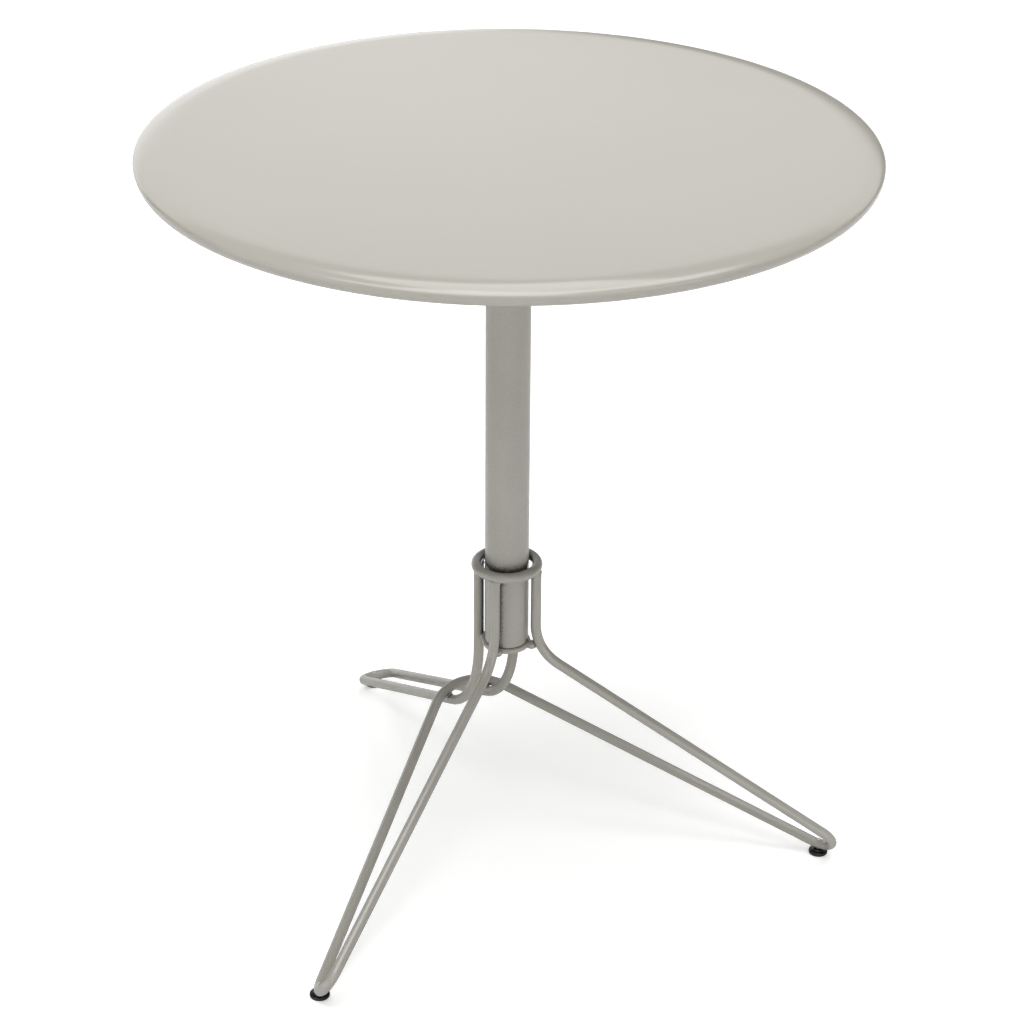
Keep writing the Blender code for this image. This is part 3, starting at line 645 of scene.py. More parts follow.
def glide_profile(radius, top):
    """Half outline of a glide: a low disc, a boss on it, and a countersink underneath."""
    fillet = GLIDE_FILLET
    profile = [(GLIDE_BORE, top), (GLIDE_BOSS - GLIDE_BOSS_EDGE, top), (GLIDE_BOSS, top - GLIDE_BOSS_EDGE),
               (GLIDE_BOSS, GLIDE_DISC_TOP + fillet)]
    profile += arc(GLIDE_BOSS + fillet, GLIDE_DISC_TOP + fillet, fillet, fillet, -180, -90, 3)[1:]
    profile += arc(radius - GLIDE_EDGE, GLIDE_DISC_TOP - GLIDE_EDGE, GLIDE_EDGE, GLIDE_EDGE, 90, 0, 5)
    profile += arc(radius - GLIDE_EDGE, GLIDE_EDGE, GLIDE_EDGE, GLIDE_EDGE, 0, -90, 5)
    return profile + [(GLIDE_SINK, 0.0), (GLIDE_SINK, GLIDE_SINK_RIM), (GLIDE_BORE, GLIDE_SINK_TOP)]


def screw_profile(tip):
    """Half outline of a countersunk screw with a round drive recess in its head."""
    recess = SCREW_FACE_Z - 0.0001
    profile = [(0.0, tip)] + arc(SCREW_RADIUS - SCREW_END, tip - SCREW_END, SCREW_END, SCREW_END, 90, 0, 4)
    return profile + [(SCREW_RADIUS, GLIDE_SINK_TOP), (SCREW_HEAD, SCREW_HEAD_Z), (SCREW_HEAD, SCREW_FACE_Z),
                      (DRIVE_RADIUS, recess), (DRIVE_RADIUS - GLIDE_BOSS_EDGE, recess + DRIVE_DEPTH),
                      (0.0, recess + DRIVE_DEPTH)]


def make_glides():
    """Black discs under the hairpins, and the screws whose ends show on top of the rods."""
    for name in ("left", "right", "rear"):
        low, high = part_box(f"glide_pad_{name}")
        place = Matrix.Translation(((low.x + high.x) / 2, (low.y + high.y) / 2, 0.0))
        disc = turned_mesh(glide_profile((high.x - low.x) / 2, high.z), 72, place)
        piece(f"glide_disc_{name}", disc, GLOSS_BLACK, "base", [f"glide_pad_{name}"])
        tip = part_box(f"glide_screw_{name}")[1].z
        screw = turned_mesh(screw_profile(tip), 32, place)
        piece(f"glide_fixing_{name}", screw, ZINC, "base", [f"glide_screw_{name}"])


# ---------------------------------------------------------------- tipping head
COLLAR_RISE = 0.006
COLLAR_EDGE = 0.0015
NECK_SIZE = (0.030, 0.022)
NECK_SINK = 0.003
BARREL_RADIUS = 0.013
BARREL_HALF = 0.022
HEAD_BORE = 0.0075
RISER_SIZE = (0.020, 0.014, 0.024)
RISER_PLACE = (0.009, 0.008)
ARM_SIZE = (0.020, 0.050, 0.008)
ARM_PLACE = (0.027, 0.016)
GUSSET_OUTLINE = ((0.006, -0.012), (0.044, 0.0135), (0.006, 0.0135))
GUSSET_THICKNESS = 0.006
SPIGOT_LENGTH = 0.036
SPIGOT_LEAD = 0.002
SPIGOT_OVERLAP = 0.001
HEAD_VOXEL = 0.0007
HEAD_ROUNDS = 6

BOLT_RADIUS = 0.0050
BOLT_HOLE = 0.0053
BUSH_SLEEVE = 0.0072
BUSH_FLANGE = 0.0105
BUSH_FACE = 0.0237
BUSH_INNER_FACE = 0.0223
BUSH_END = 0.008
BUSH_EDGE = 0.0003


def make_head():
    """Cast head with soft fillets, machined bore and turned spigot."""
    collar_low = POST_HIGH.z + GAP
    collar_top = POST_HIGH.z + COLLAR_RISE
    profile = [(0.0, collar_top)]
    profile += arc(POST_RADIUS - COLLAR_EDGE, collar_top - COLLAR_EDGE, COLLAR_EDGE, COLLAR_EDGE, 90, 0, 5)
    profile += [(POST_RADIUS, collar_low), (0.0, collar_low)]
    neck_low = collar_top - NECK_SINK
    axle = turn_to("X", (0, 0, PIVOT_Z))
    shapes = [
        turned_mesh(profile, 96),
        box_mesh((*NECK_SIZE, PIVOT_Z - neck_low), (0, 0, (PIVOT_Z + neck_low) / 2)),
        cylinder_mesh(BARREL_RADIUS, BARREL_HALF, 64, axle),
        box_mesh(RISER_SIZE, (0, RISER_PLACE[0], PIVOT_Z + RISER_PLACE[1])),
        box_mesh(ARM_SIZE, (0, ARM_PLACE[0], PIVOT_Z + ARM_PLACE[1])),
        prism_mesh(GUSSET_OUTLINE, GUSSET_THICKNESS, Matrix.Translation((0, 0, PIVOT_Z)) @ STAND),
    ]
    casting = softened(union(*shapes), HEAD_VOXEL, HEAD_ROUNDS)
    casting = minus(casting, cylinder_mesh(HEAD_BORE, BARREL_HALF + 0.008, 64, axle))
    piece("cast_pivot_head", casting, CAST, "base", ["pivot_head"], angle=50)
    spigot = POST_RADIUS - POST_WALL - GAP
    top = collar_low + SPIGOT_OVERLAP
    bottom = collar_low - SPIGOT_LENGTH
    plug = [(0.0, top), (spigot, top), (spigot, bottom + SPIGOT_LEAD), (spigot - SPIGOT_LEAD, bottom),
            (0.0, bottom)]
    piece("head_spigot", turned_mesh(plug, 64), CAST, "base")


def make_bushes():
    """Two flanged nylon bushes that the bolt turns in."""
    edge = BUSH_EDGE
    profile = [(BOLT_HOLE + edge, BUSH_FACE)]
    profile += arc(BUSH_FLANGE - edge, BUSH_FACE - edge, edge, edge, 90, 0, 3)
    profile += [(BUSH_FLANGE, BUSH_INNER_FACE), (BUSH_SLEEVE, BUSH_INNER_FACE),
                (BUSH_SLEEVE, BUSH_END + edge),
                (BUSH_SLEEVE - edge, BUSH_END), (BOLT_HOLE, BUSH_END), (BOLT_HOLE, BUSH_FACE - edge)]
    for name, axis in (("left", "-X"), ("right", "X")):
        bush = turned_mesh(profile, 64, turn_to(axis, (0, 0, PIVOT_Z)))
        piece(f"nylon_bush_{name}", bush, NYLON, "base", [f"pivot_bush_{name}"])


RUBBER_WIDE = 0.009
RUBBER_NARROW = 0.008
RUBBER_EDGE = 0.0015
RUBBER_GROOVE = (0.0011, 0.0018)


def rubber_profile(low_radius, high_radius, low, high):
    """Half outline of a moulded rubber foot with rounded ends and a shallow groove round it."""
    edge = RUBBER_EDGE
    depth, half_width = RUBBER_GROOVE
    profile = [(0.0, high)] + arc(high_radius - edge, high - edge, edge, edge, 90, 0, 5)
    profile += arc((low_radius + high_radius) / 2, (low + high) / 2, -depth, half_width, 90, -90, 8)
    profile += arc(low_radius - edge, low + edge, edge, edge, 0, -90, 5)
    return profile + [(0.0, low)]


def make_rubbers():
    """The bumper the top rests on, and the buffer beside the post when the top stands upright."""
    for node, body, low_radius, high_radius in (("rest_bumper", "base", RUBBER_WIDE, RUBBER_NARROW),
                                                ("storage_buffer", "top", RUBBER_NARROW, RUBBER_WIDE)):
        low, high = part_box(node)
        place = Matrix.Translation((0, (low.y + high.y) / 2, 0))
        mesh = turned_mesh(rubber_profile(low_radius, high_radius, low.z, high.z), 64, place)
        piece(f"rubber_{node}", mesh, RUBBER, body, [node])


# ---------------------------------------------------------------- top
SHEET = 0.0015
ROLL_WIDTH = 0.030
ROLL_DROP = 0.008
TURN_WIDTH = 0.006
TURN_DROP = 0.009
LIP_WIDTH = 0.006
FLAT_RINGS = (0.0, 0.10, 0.20, 0.28)

RAIL_WALL = 0.0015
RAIL_HALF = 0.015
RAIL_FLOOR_HALF = 0.009
RAIL_FLANGE = 0.006
RAIL_LEAN = 0.001
RAIL_FOLD = 0.0006

PLATE_THICKNESS = 0.004
PLATE_CORNER = 0.012
EAR_RADIUS = 0.013
EAR_HALF_ROOT = 0.024
EAR_ROOT_DEPTH = 0.006
EAR_SINK = 0.001
EAR_THICKNESS = 0.004
EAR_X = 0.026
EAR_ARC = (190, 160)
EAR_STEPS = 24
BEAD_RADIUS = 0.0013
BEAD_HALF = 0.022
BEAD_STEPS = 60
BEAD_RIPPLE = 0.00018
BEAD_DROP = 0.0002
PLATE_EDGE = 0.0004
STUD_HOLE = 0.0034
STUDS = range(1, 5)


def make_sheet():
    """The pressed sheet with its soft roll-over edge and turned-under lip."""
    roll_r = TOP_RADIUS - ROLL_WIDTH
    roll_z = TABLE_HEIGHT - ROLL_DROP
    turn_r = TOP_RADIUS - TURN_WIDTH
    lip = SHEET / 2
    profile = [(radius, TABLE_HEIGHT) for radius in FLAT_RINGS]
    profile += arc(roll_r, roll_z, ROLL_WIDTH, ROLL_DROP, 90, 0, 26)
    profile += arc(turn_r, roll_z, TURN_WIDTH, TURN_DROP, 0, -90, 12)[1:]
    profile += arc(turn_r - LIP_WIDTH, roll_z - TURN_DROP + lip, lip, lip, -90, -270, 6)
    profile += arc(turn_r, roll_z, TURN_WIDTH - SHEET, TURN_DROP - SHEET, -90, 0, 12)
    profile += arc(roll_r, roll_z, ROLL_WIDTH - SHEET, ROLL_DROP - SHEET, 0, 90, 26)[1:]
    profile += [(radius, TABLE_HEIGHT - SHEET) for radius in reversed(FLAT_RINGS)]
    piece("pressed_top", turned_mesh(profile, steps=256), PAINT_TOP, "top", ["table_top"])


def rail_outline(depth):
    """Hat section, open towards the sheet, from its flange on one side to the other and back."""
    edge = RAIL_HALF + RAIL_FLANGE
    return [(edge, 0), (RAIL_HALF, 0), (RAIL_FLOOR_HALF, RAIL_WALL - depth),
            (-RAIL_FLOOR_HALF, RAIL_WALL - depth),
            (-RAIL_HALF, 0), (-edge, 0), (-edge, -RAIL_WALL), (-RAIL_HALF - RAIL_LEAN, -RAIL_WALL),
            (-RAIL_FLOOR_HALF - RAIL_LEAN, -depth), (RAIL_FLOOR_HALF + RAIL_LEAN, -depth),
            (RAIL_HALF + RAIL_LEAN, -RAIL_WALL), (edge, -RAIL_WALL)]


def make_rails():
    """Pressed hat-section rails with rounded folds."""
    for name in ("front", "back"):
        low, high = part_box(f"top_rail_{name}")
        place = Matrix.Translation((0, (low.y + high.y) / 2, high.z)) @ STAND
        rail = prism_mesh(rail_outline(high.z - low.z), high.x - low.x, place)
        rail = bevelled(rail, RAIL_FOLD, segments=3, angle=20)
        piece(f"pressed_rail_{name}", rail, PAINT_TOP, "top", [f"top_rail_{name}"], angle=50)


def ear_outline():
    """An ear of the plate about the bolt: a broad root under the plate and a round lower end."""
    root = PLATE_HIGH.z - EAR_SINK - PIVOT_Z
    start, sweep = EAR_ARC
    turns = [math.radians(start + sweep * i / EAR_STEPS) for i in range(EAR_STEPS + 1)]
    outline = [(EAR_HALF_ROOT, root), (-EAR_HALF_ROOT, root), (-EAR_HALF_ROOT, root - EAR_ROOT_DEPTH)]
    outline += [(EAR_RADIUS * math.cos(turn), EAR_RADIUS * math.sin(turn)) for turn in turns]
    return outline + [(EAR_HALF_ROOT, root - EAR_ROOT_DEPTH)]


def make_hinge_plate():
    """Bevelled plate and ears, with a weld bead along each ear's foot."""
    middle = PLATE_HIGH.z - PLATE_THICKNESS / 2
    outline = rounded_rectangle(PLATE_HIGH.x, PLATE_HIGH.y, PLATE_CORNER)
    shapes = [prism_mesh(outline, PLATE_THICKNESS, Matrix.Translation((0, 0, middle)))]
    for side in (-1, 1):
        place = Matrix.Translation((side * EAR_X, 0, PIVOT_Z)) @ STAND
        shapes.append(prism_mesh(ear_outline(), EAR_THICKNESS, place))
    holes = [cylinder_mesh(BOLT_HOLE, 0.04, 48, turn_to("X", (0, 0, PIVOT_Z)))]
    for x, y in stud_places():
        holes.append(cylinder_mesh(STUD_HOLE, 0.01, 32, Matrix.Translation((x, y, middle))))
    plate = bevelled(minus(union(*shapes), *holes), PLATE_EDGE, segments=2)
    piece("pivot_plate", plate, ZINC, "top", ["hinge_plate"], angle=30)
    for number, (side, face) in enumerate(((-1, -1), (-1, 1), (1, -1), (1, 1)), start=1):
        x = side * EAR_X + face * EAR_THICKNESS / 2
        path = [Vector((x, BEAD_HALF * (2 * i / BEAD_STEPS - 1), bead_height(i, number)))
                for i in range(BEAD_STEPS + 1)]
        bead = tube_mesh(path, BEAD_RADIUS, resolution=3)
        piece(f"ear_weld_{number}", bead, ZINC, "top", angle=80)


def bead_height(i, seed):
    """Height of a weld bead's centre line, rippled as a hand-run bead is."""
    return PLATE_HIGH.z - PLATE_THICKNESS - BEAD_DROP + BEAD_RIPPLE * math.sin(i * 1.3 + seed)


def rounded_rectangle(half_x, half_y, radius, steps=8):
    """Outline of a rectangle with rounded corners."""
    points = []
    for sign_x, sign_y, start in ((1, 1, 0), (-1, 1, 90), (-1, -1, 180), (1, -1, 270)):
        centre_x = sign_x * (half_x - radius)
        centre_y = sign_y * (half_y - radius)
        for i in range(steps + 1):
            angle = math.radians(start + 90 * i / steps)
            points.append((centre_x + radius * math.cos(angle), centre_y + radius * math.sin(angle)))
    return points


def stud_places():
    """Where the four studs stand, in X and Y."""
    boxes = [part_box(f"weld_stud_{number}") for number in STUDS]
    return [((low.x + high.x) / 2, (low.y + high.y) / 2) for low, high in boxes]


# ---------------------------------------------------------------- fasteners
STUD_RADIUS = 0.0030
STUD_PLAIN = 0.0030
STUD_POINT = 0.0018
STUD_CHAMFER = 0.0006
THREAD_DEPTH = 0.0005
THREAD_PITCH = 0.0010
THREAD_RUN_IN = 0.0002

NUT_ACROSS = 0.0052
NUT_BORE = 0.0033
NUT_FLANGE = 0.0065
NUT_FLANGE_HIGH = 0.0012
NUT_FLANGE_EDGE = 0.0005
NUT_FLANGE_TOP = 0.0050

HEAD_ACROSS = 0.0092
HEAD_HIGH = 0.0064
WASHER = 0.0020
EAR_FACE = EAR_X + EAR_THICKNESS / 2
BOLT_END = 0.0008
BOLT_EYE = 0.0030
WASHER_EDGE = 0.00025
WASHER_RADIUS = 0.0105
PIN_EDGE = 0.0004


def thread(radius, depth, pitch, high, low):
    """Outside points of a screw thread, drawn as a row of ridges."""
    points = []
    count = max(1, int((high - low) / pitch))
    for i in range(count):
        z = high - i * pitch
        points += [(radius - depth, z), (radius, z - pitch * 0.40), (radius, z - pitch * 0.55)]
    points.append((radius - depth, low))
    return points


def hexagon_mesh(corner, high, low, place, bore=0.0):
    """A hexagon with its corners chamfered by a cone, as on a nut or a bolt's head."""
    middle = (high + low) / 2
    bm = bmesh.new()
    bmesh.ops.create_cone(bm, cap_ends=True, segments=6, radius1=corner, radius2=corner, depth=high - low)
    bmesh.ops.translate(bm, vec=(0, 0, middle), verts=bm.verts)
    prism = bpy.data.meshes.new("hexagon")
    bm.to_mesh(prism)
    bm.free()
    flat, wide, drop = corner * 0.88, corner * 1.06, corner * 0.105
    cone = turned_mesh([(0.0, high), (flat, high), (wide, high - drop), (wide, low), (0.0, low)], 72)
    shape = combined(prism, cone, "INTERSECT")
    if bore > 0.0:
        shape = minus(shape, cylinder_mesh(bore, high - low, 40, Matrix.Translation((0, 0, middle))))
    shape.transform(place)
    return shape


def make_fasteners():
    """Threaded weld studs with their flange nuts."""
    skirt_profile = [(NUT_BORE, NUT_FLANGE_HIGH), (NUT_FLANGE_TOP, NUT_FLANGE_HIGH),
                     (NUT_FLANGE, NUT_FLANGE_EDGE), (NUT_FLANGE, 0.0), (NUT_BORE, 0.0)]
    for number, (x, y) in zip(STUDS, stud_places()):
        low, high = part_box(f"weld_stud_{number}")
        profile = [(0.0, high.z), (STUD_RADIUS, high.z), (STUD_RADIUS, high.z - STUD_PLAIN)]
        profile += thread(STUD_RADIUS, THREAD_DEPTH, THREAD_PITCH, high.z - STUD_PLAIN - THREAD_RUN_IN,
                          low.z + STUD_CHAMFER)
        profile += [(STUD_POINT, low.z), (0.0, low.z)]
        stud = turned_mesh(profile, 32, Matrix.Translation((x, y, 0)))
        piece(f"threaded_stud_{number}", stud, ZINC, "top", [f"weld_stud_{number}"], angle=25)
        nut_low, nut_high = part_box(f"flange_nut_{number}")
        start = NUT_FLANGE_HIGH * 0.6
        body = hexagon_mesh(NUT_ACROSS, nut_high.z - nut_low.z, start, Matrix.Identity(4), NUT_BORE)
        nut = union(body, turned_mesh(skirt_profile, 64))
        nut.transform(turn_to("-Z", (x, y, nut_high.z)))
        piece(f"hex_flange_nut_{number}", nut, ZINC, "top", [f"flange_nut_{number}"], angle=30)


def make_bolt():
    """Pivot bolt with a hexagon head, a plain shank and a cross-drilled eye end."""
    head_face = -(EAR_FACE + GAP + WASHER + GAP)
    head_end = head_face - 0.001
    shank = [(0.0, BOLT_HIGH.x)]
    shank += arc(BOLT_RADIUS - BOLT_END, BOLT_HIGH.x - BOLT_END, BOLT_END, BOLT_END, 90, 0, 4)
    shank += [(BOLT_RADIUS, head_end), (0.0, head_end)]
    shank = turned_mesh(shank, 64, turn_to("X", (0, 0, PIVOT_Z)))
    head = hexagon_mesh(HEAD_ACROSS, HEAD_HIGH, 0.0, turn_to("-X", (head_face, 0, PIVOT_Z)))
    eye = cylinder_mesh(BOLT_EYE, 0.01, 40, Matrix.Translation((CAM_X, 0, PIVOT_Z)))
    bolt = minus(union(shank, head), eye)
    piece("pivot_eye_bolt", bolt, ZINC, "top", ["pivot_bolt"], angle=25)


def make_washers():
    """The washers under the bolt's head and under the cam."""
    edge = WASHER_EDGE
    for name in ("head", "cam"):
        low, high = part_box(f"{name}_washer")
        half = (high.x - low.x) / 2
        profile = [(BOLT_HOLE, half)] + arc(WASHER_RADIUS - edge, half - edge, edge, edge, 90, 0, 3)
        profile += arc(WASHER_RADIUS - edge, edge - half, edge, edge, 0, -90, 3) + [(BOLT_HOLE, -half)]
        washer = turned_mesh(profile, 72, turn_to("X", ((high.x + low.x) / 2, 0, PIVOT_Z)))
        piece(f"{name}_plain_washer", washer, ZINC, "top", [f"{name}_washer"])


def make_cam_pin():
    """The pin through the bolt's eye, riveted at both ends."""
    radius, edge = (PIN_HIGH.x - PIN_LOW.x) / 2, PIN_EDGE
    profile = [(0.0, PIN_HIGH.z)] + arc(radius - edge, PIN_HIGH.z - edge, edge, edge, 90, 0, 3)
    profile += arc(radius - edge, PIN_LOW.z + edge, edge, edge, 0, -90, 3) + [(0.0, PIN_LOW.z)]
    pin = turned_mesh(profile, 40, Matrix.Translation((CAM_X, 0, 0)))
    piece("riveted_cam_pin", pin, ZINC, "top", ["cam_pin"])


# ---------------------------------------------------------------- clamping lever
CAM_SETBACK = 0.0007
CHEEK_INNER = 0.0054
CHEEK_OUTER = 0.0104
CHEEK_RADIUS = 0.0098
CHEEK_FOOT = (0.0135, 0.0165)
CHEEK_BACK = 0.004
LEVER_LENGTH = 0.098
LEVER_THICKNESS = 0.013
LEVER_VOXEL = 0.0005
# the lever's blade, out from the cam's middle and along it
BLADE_OUTLINE = ((-0.0040, 0.0085), (0.0095, 0.0085), (0.0085, 0.030), (0.0110, 0.060),
                 (0.0150, LEVER_LENGTH), (0.0095, LEVER_LENGTH), (0.0055, 0.060), (0.0020, 0.030),
                 (-0.0040, 0.0180))

GRIP_START = 0.050
GRIP_NOSE = 0.062
GRIP_END = LEVER_LENGTH + 0.004
GRIP_THICKNESS = 0.0175
GRIP_VOXEL = 0.00045
GRIP_OUTLINE = ((0.0005, GRIP_START), (0.0145, GRIP_START), (0.0150, GRIP_NOSE), (0.0195, GRIP_END - 0.003),
                (0.0165, GRIP_END), (0.0085, GRIP_END), (0.0055, GRIP_END - 0.003), (0.0015, GRIP_NOSE))
# the slot that takes the blade, with the CAD model's clearance round it
SLOT_OUTLINE = ((0.0088, 0.030), (0.0114, 0.060), (0.0155, LEVER_LENGTH + GAP),
                (0.0091, LEVER_LENGTH + GAP), (0.0051, 0.060), (0.0016, 0.030))
RIB_COUNT = 7
RIB_START = 0.064
RIB_PITCH = 0.005
RIB_SIZE = (0.0115, 0.0022, 0.0190)
RIB_MIDDLE = 0.0086
RIB_LEAN = 0.095


def lever_prism(outline, thickness):
    """An outline drawn from the cam's middle, thickened about the lever's middle plane."""
    return prism_mesh(outline, thickness, Matrix.Translation((CAM_X - CAM_SETBACK, 0, PIVOT_Z)))


def make_lever():
    """Cast cam lever: a blade with a round cheek on each side of the bolt's eye."""
    cam_x = CAM_X - CAM_SETBACK
    height = CHEEK_OUTER - CHEEK_INNER
    wide, deep = CHEEK_FOOT
    shapes = [lever_prism(BLADE_OUTLINE, LEVER_THICKNESS)]
    for side in (-1, 1):
        z = PIVOT_Z + side * (CHEEK_INNER + CHEEK_OUTER) / 2
        shapes.append(cylinder_mesh(CHEEK_RADIUS, height / 2, 64, Matrix.Translation((cam_x, 0, z))))
        shapes.append(box_mesh((wide, deep, height), (cam_x + wide / 2 - CHEEK_BACK, deep / 2, z)))
    casting = softened(union(*shapes), LEVER_VOXEL, 5)
    hole = cylinder_mesh(BOLT_EYE, 0.02, 40, Matrix.Translation((CAM_X, 0, PIVOT_Z)))
    piece("cast_cam_lever", minus(casting, hole), CAST, "lever", ["clamp_lever"], angle=50)


def make_grip():
    """Soft-edged moulded grip with a row of finger ribs."""
    shapes = [lever_prism(GRIP_OUTLINE, GRIP_THICKNESS)]
    for number in range(RIB_COUNT):
        y = RIB_START + number * RIB_PITCH
        x = CAM_X - CAM_SETBACK + RIB_MIDDLE + (y - GRIP_NOSE) * RIB_LEAN
        shapes.append(box_mesh(RIB_SIZE, (x, y, PIVOT_Z)))
    grip = softened(union(*shapes), GRIP_VOXEL, 4)
    slot = lever_prism(SLOT_OUTLINE, LEVER_THICKNESS + 2 * GAP)
    piece("moulded_grip", minus(grip, slot), GRIP_BLACK, "lever", ["lever_grip"], angle=50)


# ---------------------------------------------------------------- camera, floor and light
CAMERA_DISTANCE = 2.4159
CAMERA_HEIGHT = 1.6376
CAMERA_PITCH = math.radians(27.44)
CAMERA_YAW = math.radians(0.116)
CAMERA_ROLL = math.radians(0.406)
CAMERA_LENS = 100.56
CAMERA_SHIFT = (-0.0004, -0.0114)
CAMERA_AZIMUTH = math.radians(-26.22)

FLOOR_RADIUS = 14.0
FLOOR_SHOWN = 0.42

OVERHEAD_SIZE = 0.6
OVERHEAD_RISE = 0.80
OVERHEAD_BACK = 0.20
OVERHEAD_POWER = 3.0

PANEL_EDGE = math.radians(4.0)

# soft-edged panels of light round the table, in degrees: the azimuth of the middle from the
# viewer's right, half the width (None: all round, up to overhead), the lower and upper
# elevation, and the radiance
LIGHT_PANELS = (
    (0.0, None, 75.0, 91.0, 4.9),
    (-150.0, 30.0, 55.0, 75.0, 4.4),
    (-90.0, 30.0, 55.0, 75.0, 5.0),
    (30.0, 30.0, 55.0, 75.0, 3.5),
    (-112.0, 22.0, 35.0, 55.0, 2.0),
    (-68.0, 22.0, 35.0, 55.0, 0.9),
    (90.0, 45.0, 15.0, 35.0, 0.90),
    (112.0, 22.0, -5.0, 15.0, 1.4),
    (-158.0, 22.0, -5.0, 15.0, 3.0),
    (-60.0, 30.0, -5.0, 15.0, 3.0),
)


def make_camera():
    """The camera fitted to the picture: its heading round the post, where it stands, where it looks."""
    data = bpy.data.cameras.new("camera")
    data.lens = CAMERA_LENS
    data.shift_x, data.shift_y = CAMERA_SHIFT
    data.clip_start = 0.05
    data.clip_end = 100.0
    camera = bpy.data.objects.new("camera", data)
    bpy.context.scene.collection.objects.link(camera)
    heading = Matrix.Rotation(CAMERA_AZIMUTH, 4, "Z")
    stand = Matrix.Translation((0.0, -CAMERA_DISTANCE, CAMERA_HEIGHT))
    look = (Matrix.Rotation(-CAMERA_YAW, 4, "Z") @ Matrix.Rotation(math.radians(90) - CAMERA_PITCH, 4, "X")
            @ Matrix.Rotation(CAMERA_ROLL, 4, "Z"))
    camera.matrix_world = heading @ stand @ look
    bpy.context.scene.camera = camera


def make_floor():
    """A pale floor, lifted to white where the camera sees it without adding light to the table."""
    bm = bmesh.new()
    bmesh.ops.create_circle(bm, cap_ends=True, segments=96, radius=FLOOR_RADIUS)
    mesh = bpy.data.meshes.new("floor")
    bm.to_mesh(mesh)
    bm.free()
    n = Nodes("pale_floor")
    n.shader.inputs["Base Color"].default_value = (0.86, 0.86, 0.855, 1.0)
    n.shader.inputs["Roughness"].default_value = 0.9
    n.shader.inputs["Emission Color"].default_value = (1.0, 1.0, 1.0, 1.0)
    shown = n.maths("MULTIPLY", n.add("ShaderNodeLightPath").outputs["Is Camera Ray"], FLOOR_SHOWN)
    n.link(shown, n.shader.inputs["Emission Strength"])
    mesh.materials.append(n.material)
    floor = bpy.data.objects.new("floor", mesh)
    bpy.context.scene.collection.objects.link(floor)


def soft_step(tree, value, start, end, low, high):
    """A value that goes smoothly from low to high while the input goes from start to end."""
    ramp = tree.nodes.new("ShaderNodeMapRange")
    ramp.interpolation_type = "SMOOTHSTEP"
    for name, number in (("From Min", start), ("From Max", end), ("To Min", low), ("To Max", high)):
        ramp.inputs[name].default_value = number
    tree.links.new(value, ramp.inputs["Value"])
    return ramp.outputs["Result"]


def joined(tree, operation, first, second):
    """Two values of the world's node tree put together by one sum."""
    node = tree.nodes.new("ShaderNodeMath")
    node.operation = operation
    tree.links.new(first, node.inputs[0])
    tree.links.new(second, node.inputs[1])
    return node.outputs["Value"]


def light_panel(tree, flat, height, panel):
    """Radiance of one panel: its edges fade along both the azimuth and the elevation."""
    azimuth, half, low, high, radiance = panel
    low, high = math.radians(low), math.radians(high)
    rising = soft_step(tree, height, math.sin(low - PANEL_EDGE), math.sin(low + PANEL_EDGE), 0.0, 1.0)
    if half is None:
        falling = soft_step(tree, height, 1.0, 2.0, radiance, 0.0)
        return joined(tree, "MULTIPLY", rising, falling)
    falling = soft_step(tree, height, math.sin(high - PANEL_EDGE), math.sin(high + PANEL_EDGE),
                        radiance, 0.0)
    middle = math.radians(azimuth) + CAMERA_AZIMUTH
    dot = tree.nodes.new("ShaderNodeVectorMath")
    dot.operation = "DOT_PRODUCT"
    dot.inputs[1].default_value = (math.cos(middle), math.sin(middle), 0.0)
    tree.links.new(flat, dot.inputs[0])
    half = math.radians(half)
    across = soft_step(tree, dot.outputs["Value"], math.cos(half + PANEL_EDGE), math.cos(half - PANEL_EDGE),
                       0.0, 1.0)
    return joined(tree, "MULTIPLY", across, joined(tree, "MULTIPLY", rising, falling))


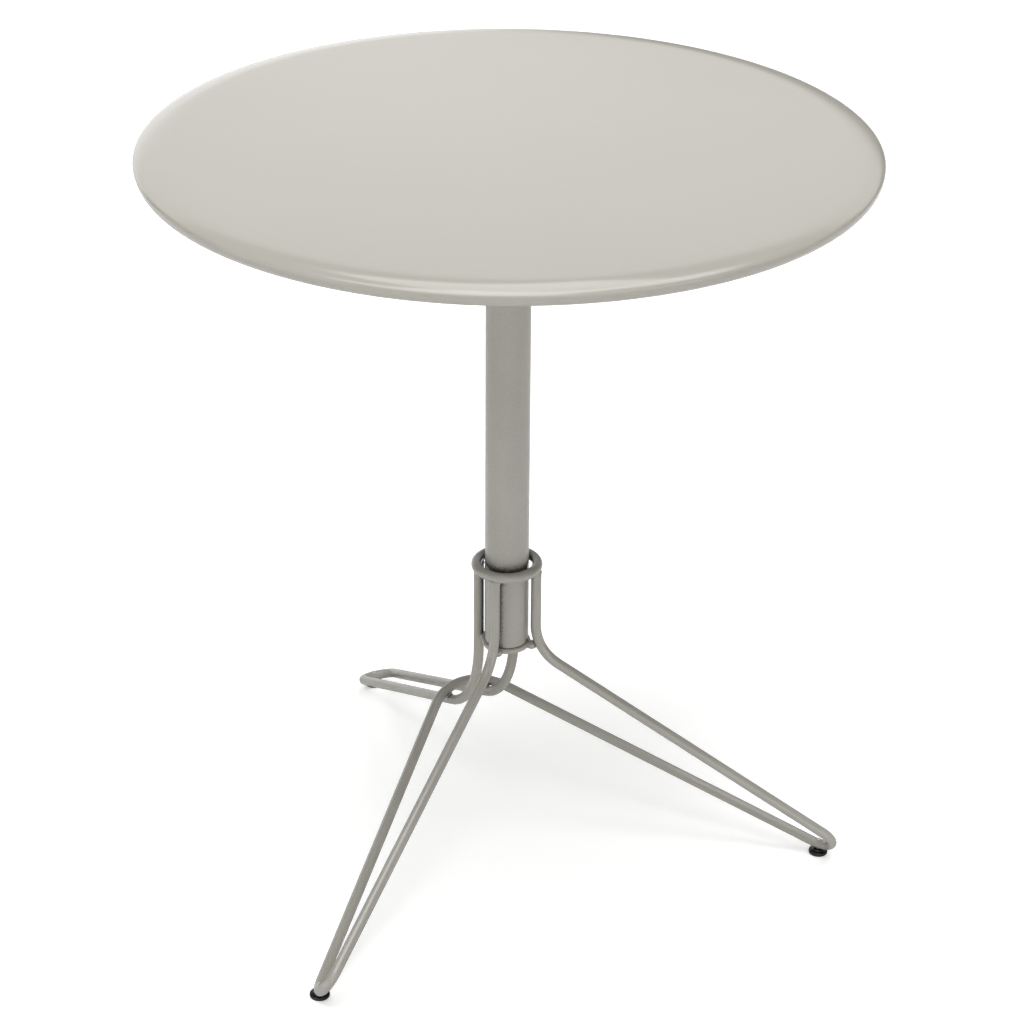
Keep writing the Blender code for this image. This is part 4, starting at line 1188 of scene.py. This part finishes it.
def make_world():
    """Dark surroundings with soft panels of light in them; the camera itself sees white."""
    world = bpy.data.worlds.new("studio")
    bpy.context.scene.world = world
    world.use_nodes = True
    tree = world.node_tree
    background = tree.nodes["Background"]
    background.inputs["Color"].default_value = (1.0, 1.0, 1.0, 1.0)
    split = tree.nodes.new("ShaderNodeSeparateXYZ")
    tree.links.new(tree.nodes.new("ShaderNodeTexCoord").outputs["Generated"], split.inputs[0])
    level = tree.nodes.new("ShaderNodeCombineXYZ")
    tree.links.new(split.outputs["X"], level.inputs["X"])
    tree.links.new(split.outputs["Y"], level.inputs["Y"])
    flat = tree.nodes.new("ShaderNodeVectorMath")
    flat.operation = "NORMALIZE"
    tree.links.new(level.outputs["Vector"], flat.inputs[0])
    panels = [light_panel(tree, flat.outputs["Vector"], split.outputs["Z"], panel) for panel in LIGHT_PANELS]
    total = panels[0]
    for panel in panels[1:]:
        total = joined(tree, "ADD", total, panel)
    rays = tree.nodes.new("ShaderNodeLightPath")
    seen = tree.nodes.new("ShaderNodeMix")
    seen.data_type = "FLOAT"
    tree.links.new(rays.outputs["Is Camera Ray"], seen.inputs["Factor"])
    tree.links.new(total, seen.inputs["A"])
    seen.inputs["B"].default_value = 1.0
    tree.links.new(seen.outputs["Result"], background.inputs["Strength"])
    bpy.context.scene.view_settings.view_transform = "Standard"


def make_overhead_light():
    """A softbox low over the back half of the top, so that the light falls off towards the front."""
    data = bpy.data.lights.new("overhead_softbox", "AREA")
    data.shape = "SQUARE"
    data.size = OVERHEAD_SIZE
    data.energy = OVERHEAD_POWER
    light = bpy.data.objects.new("overhead_softbox", data)
    bpy.context.scene.collection.objects.link(light)
    light.location = around(OVERHEAD_BACK, CAMERA_AZIMUTH + math.radians(90.0), TABLE_HEIGHT + OVERHEAD_RISE)
    light.visible_camera = False


# ---------------------------------------------------------------- build
def build():
    make_camera()
    make_floor()
    make_world()
    make_overhead_light()
    make_rods()
    make_welds()
    make_post()
    make_glides()
    make_head()
    make_bushes()
    make_rubbers()
    make_sheet()
    make_rails()
    make_hinge_plate()
    make_fasteners()
    make_bolt()
    make_washers()
    make_cam_pin()
    make_lever()
    make_grip()
    plug = frame["nodes"]["post_plug"]
    plug.data.materials.clear()
    plug.data.materials.append(GRIP_BLACK)


build()
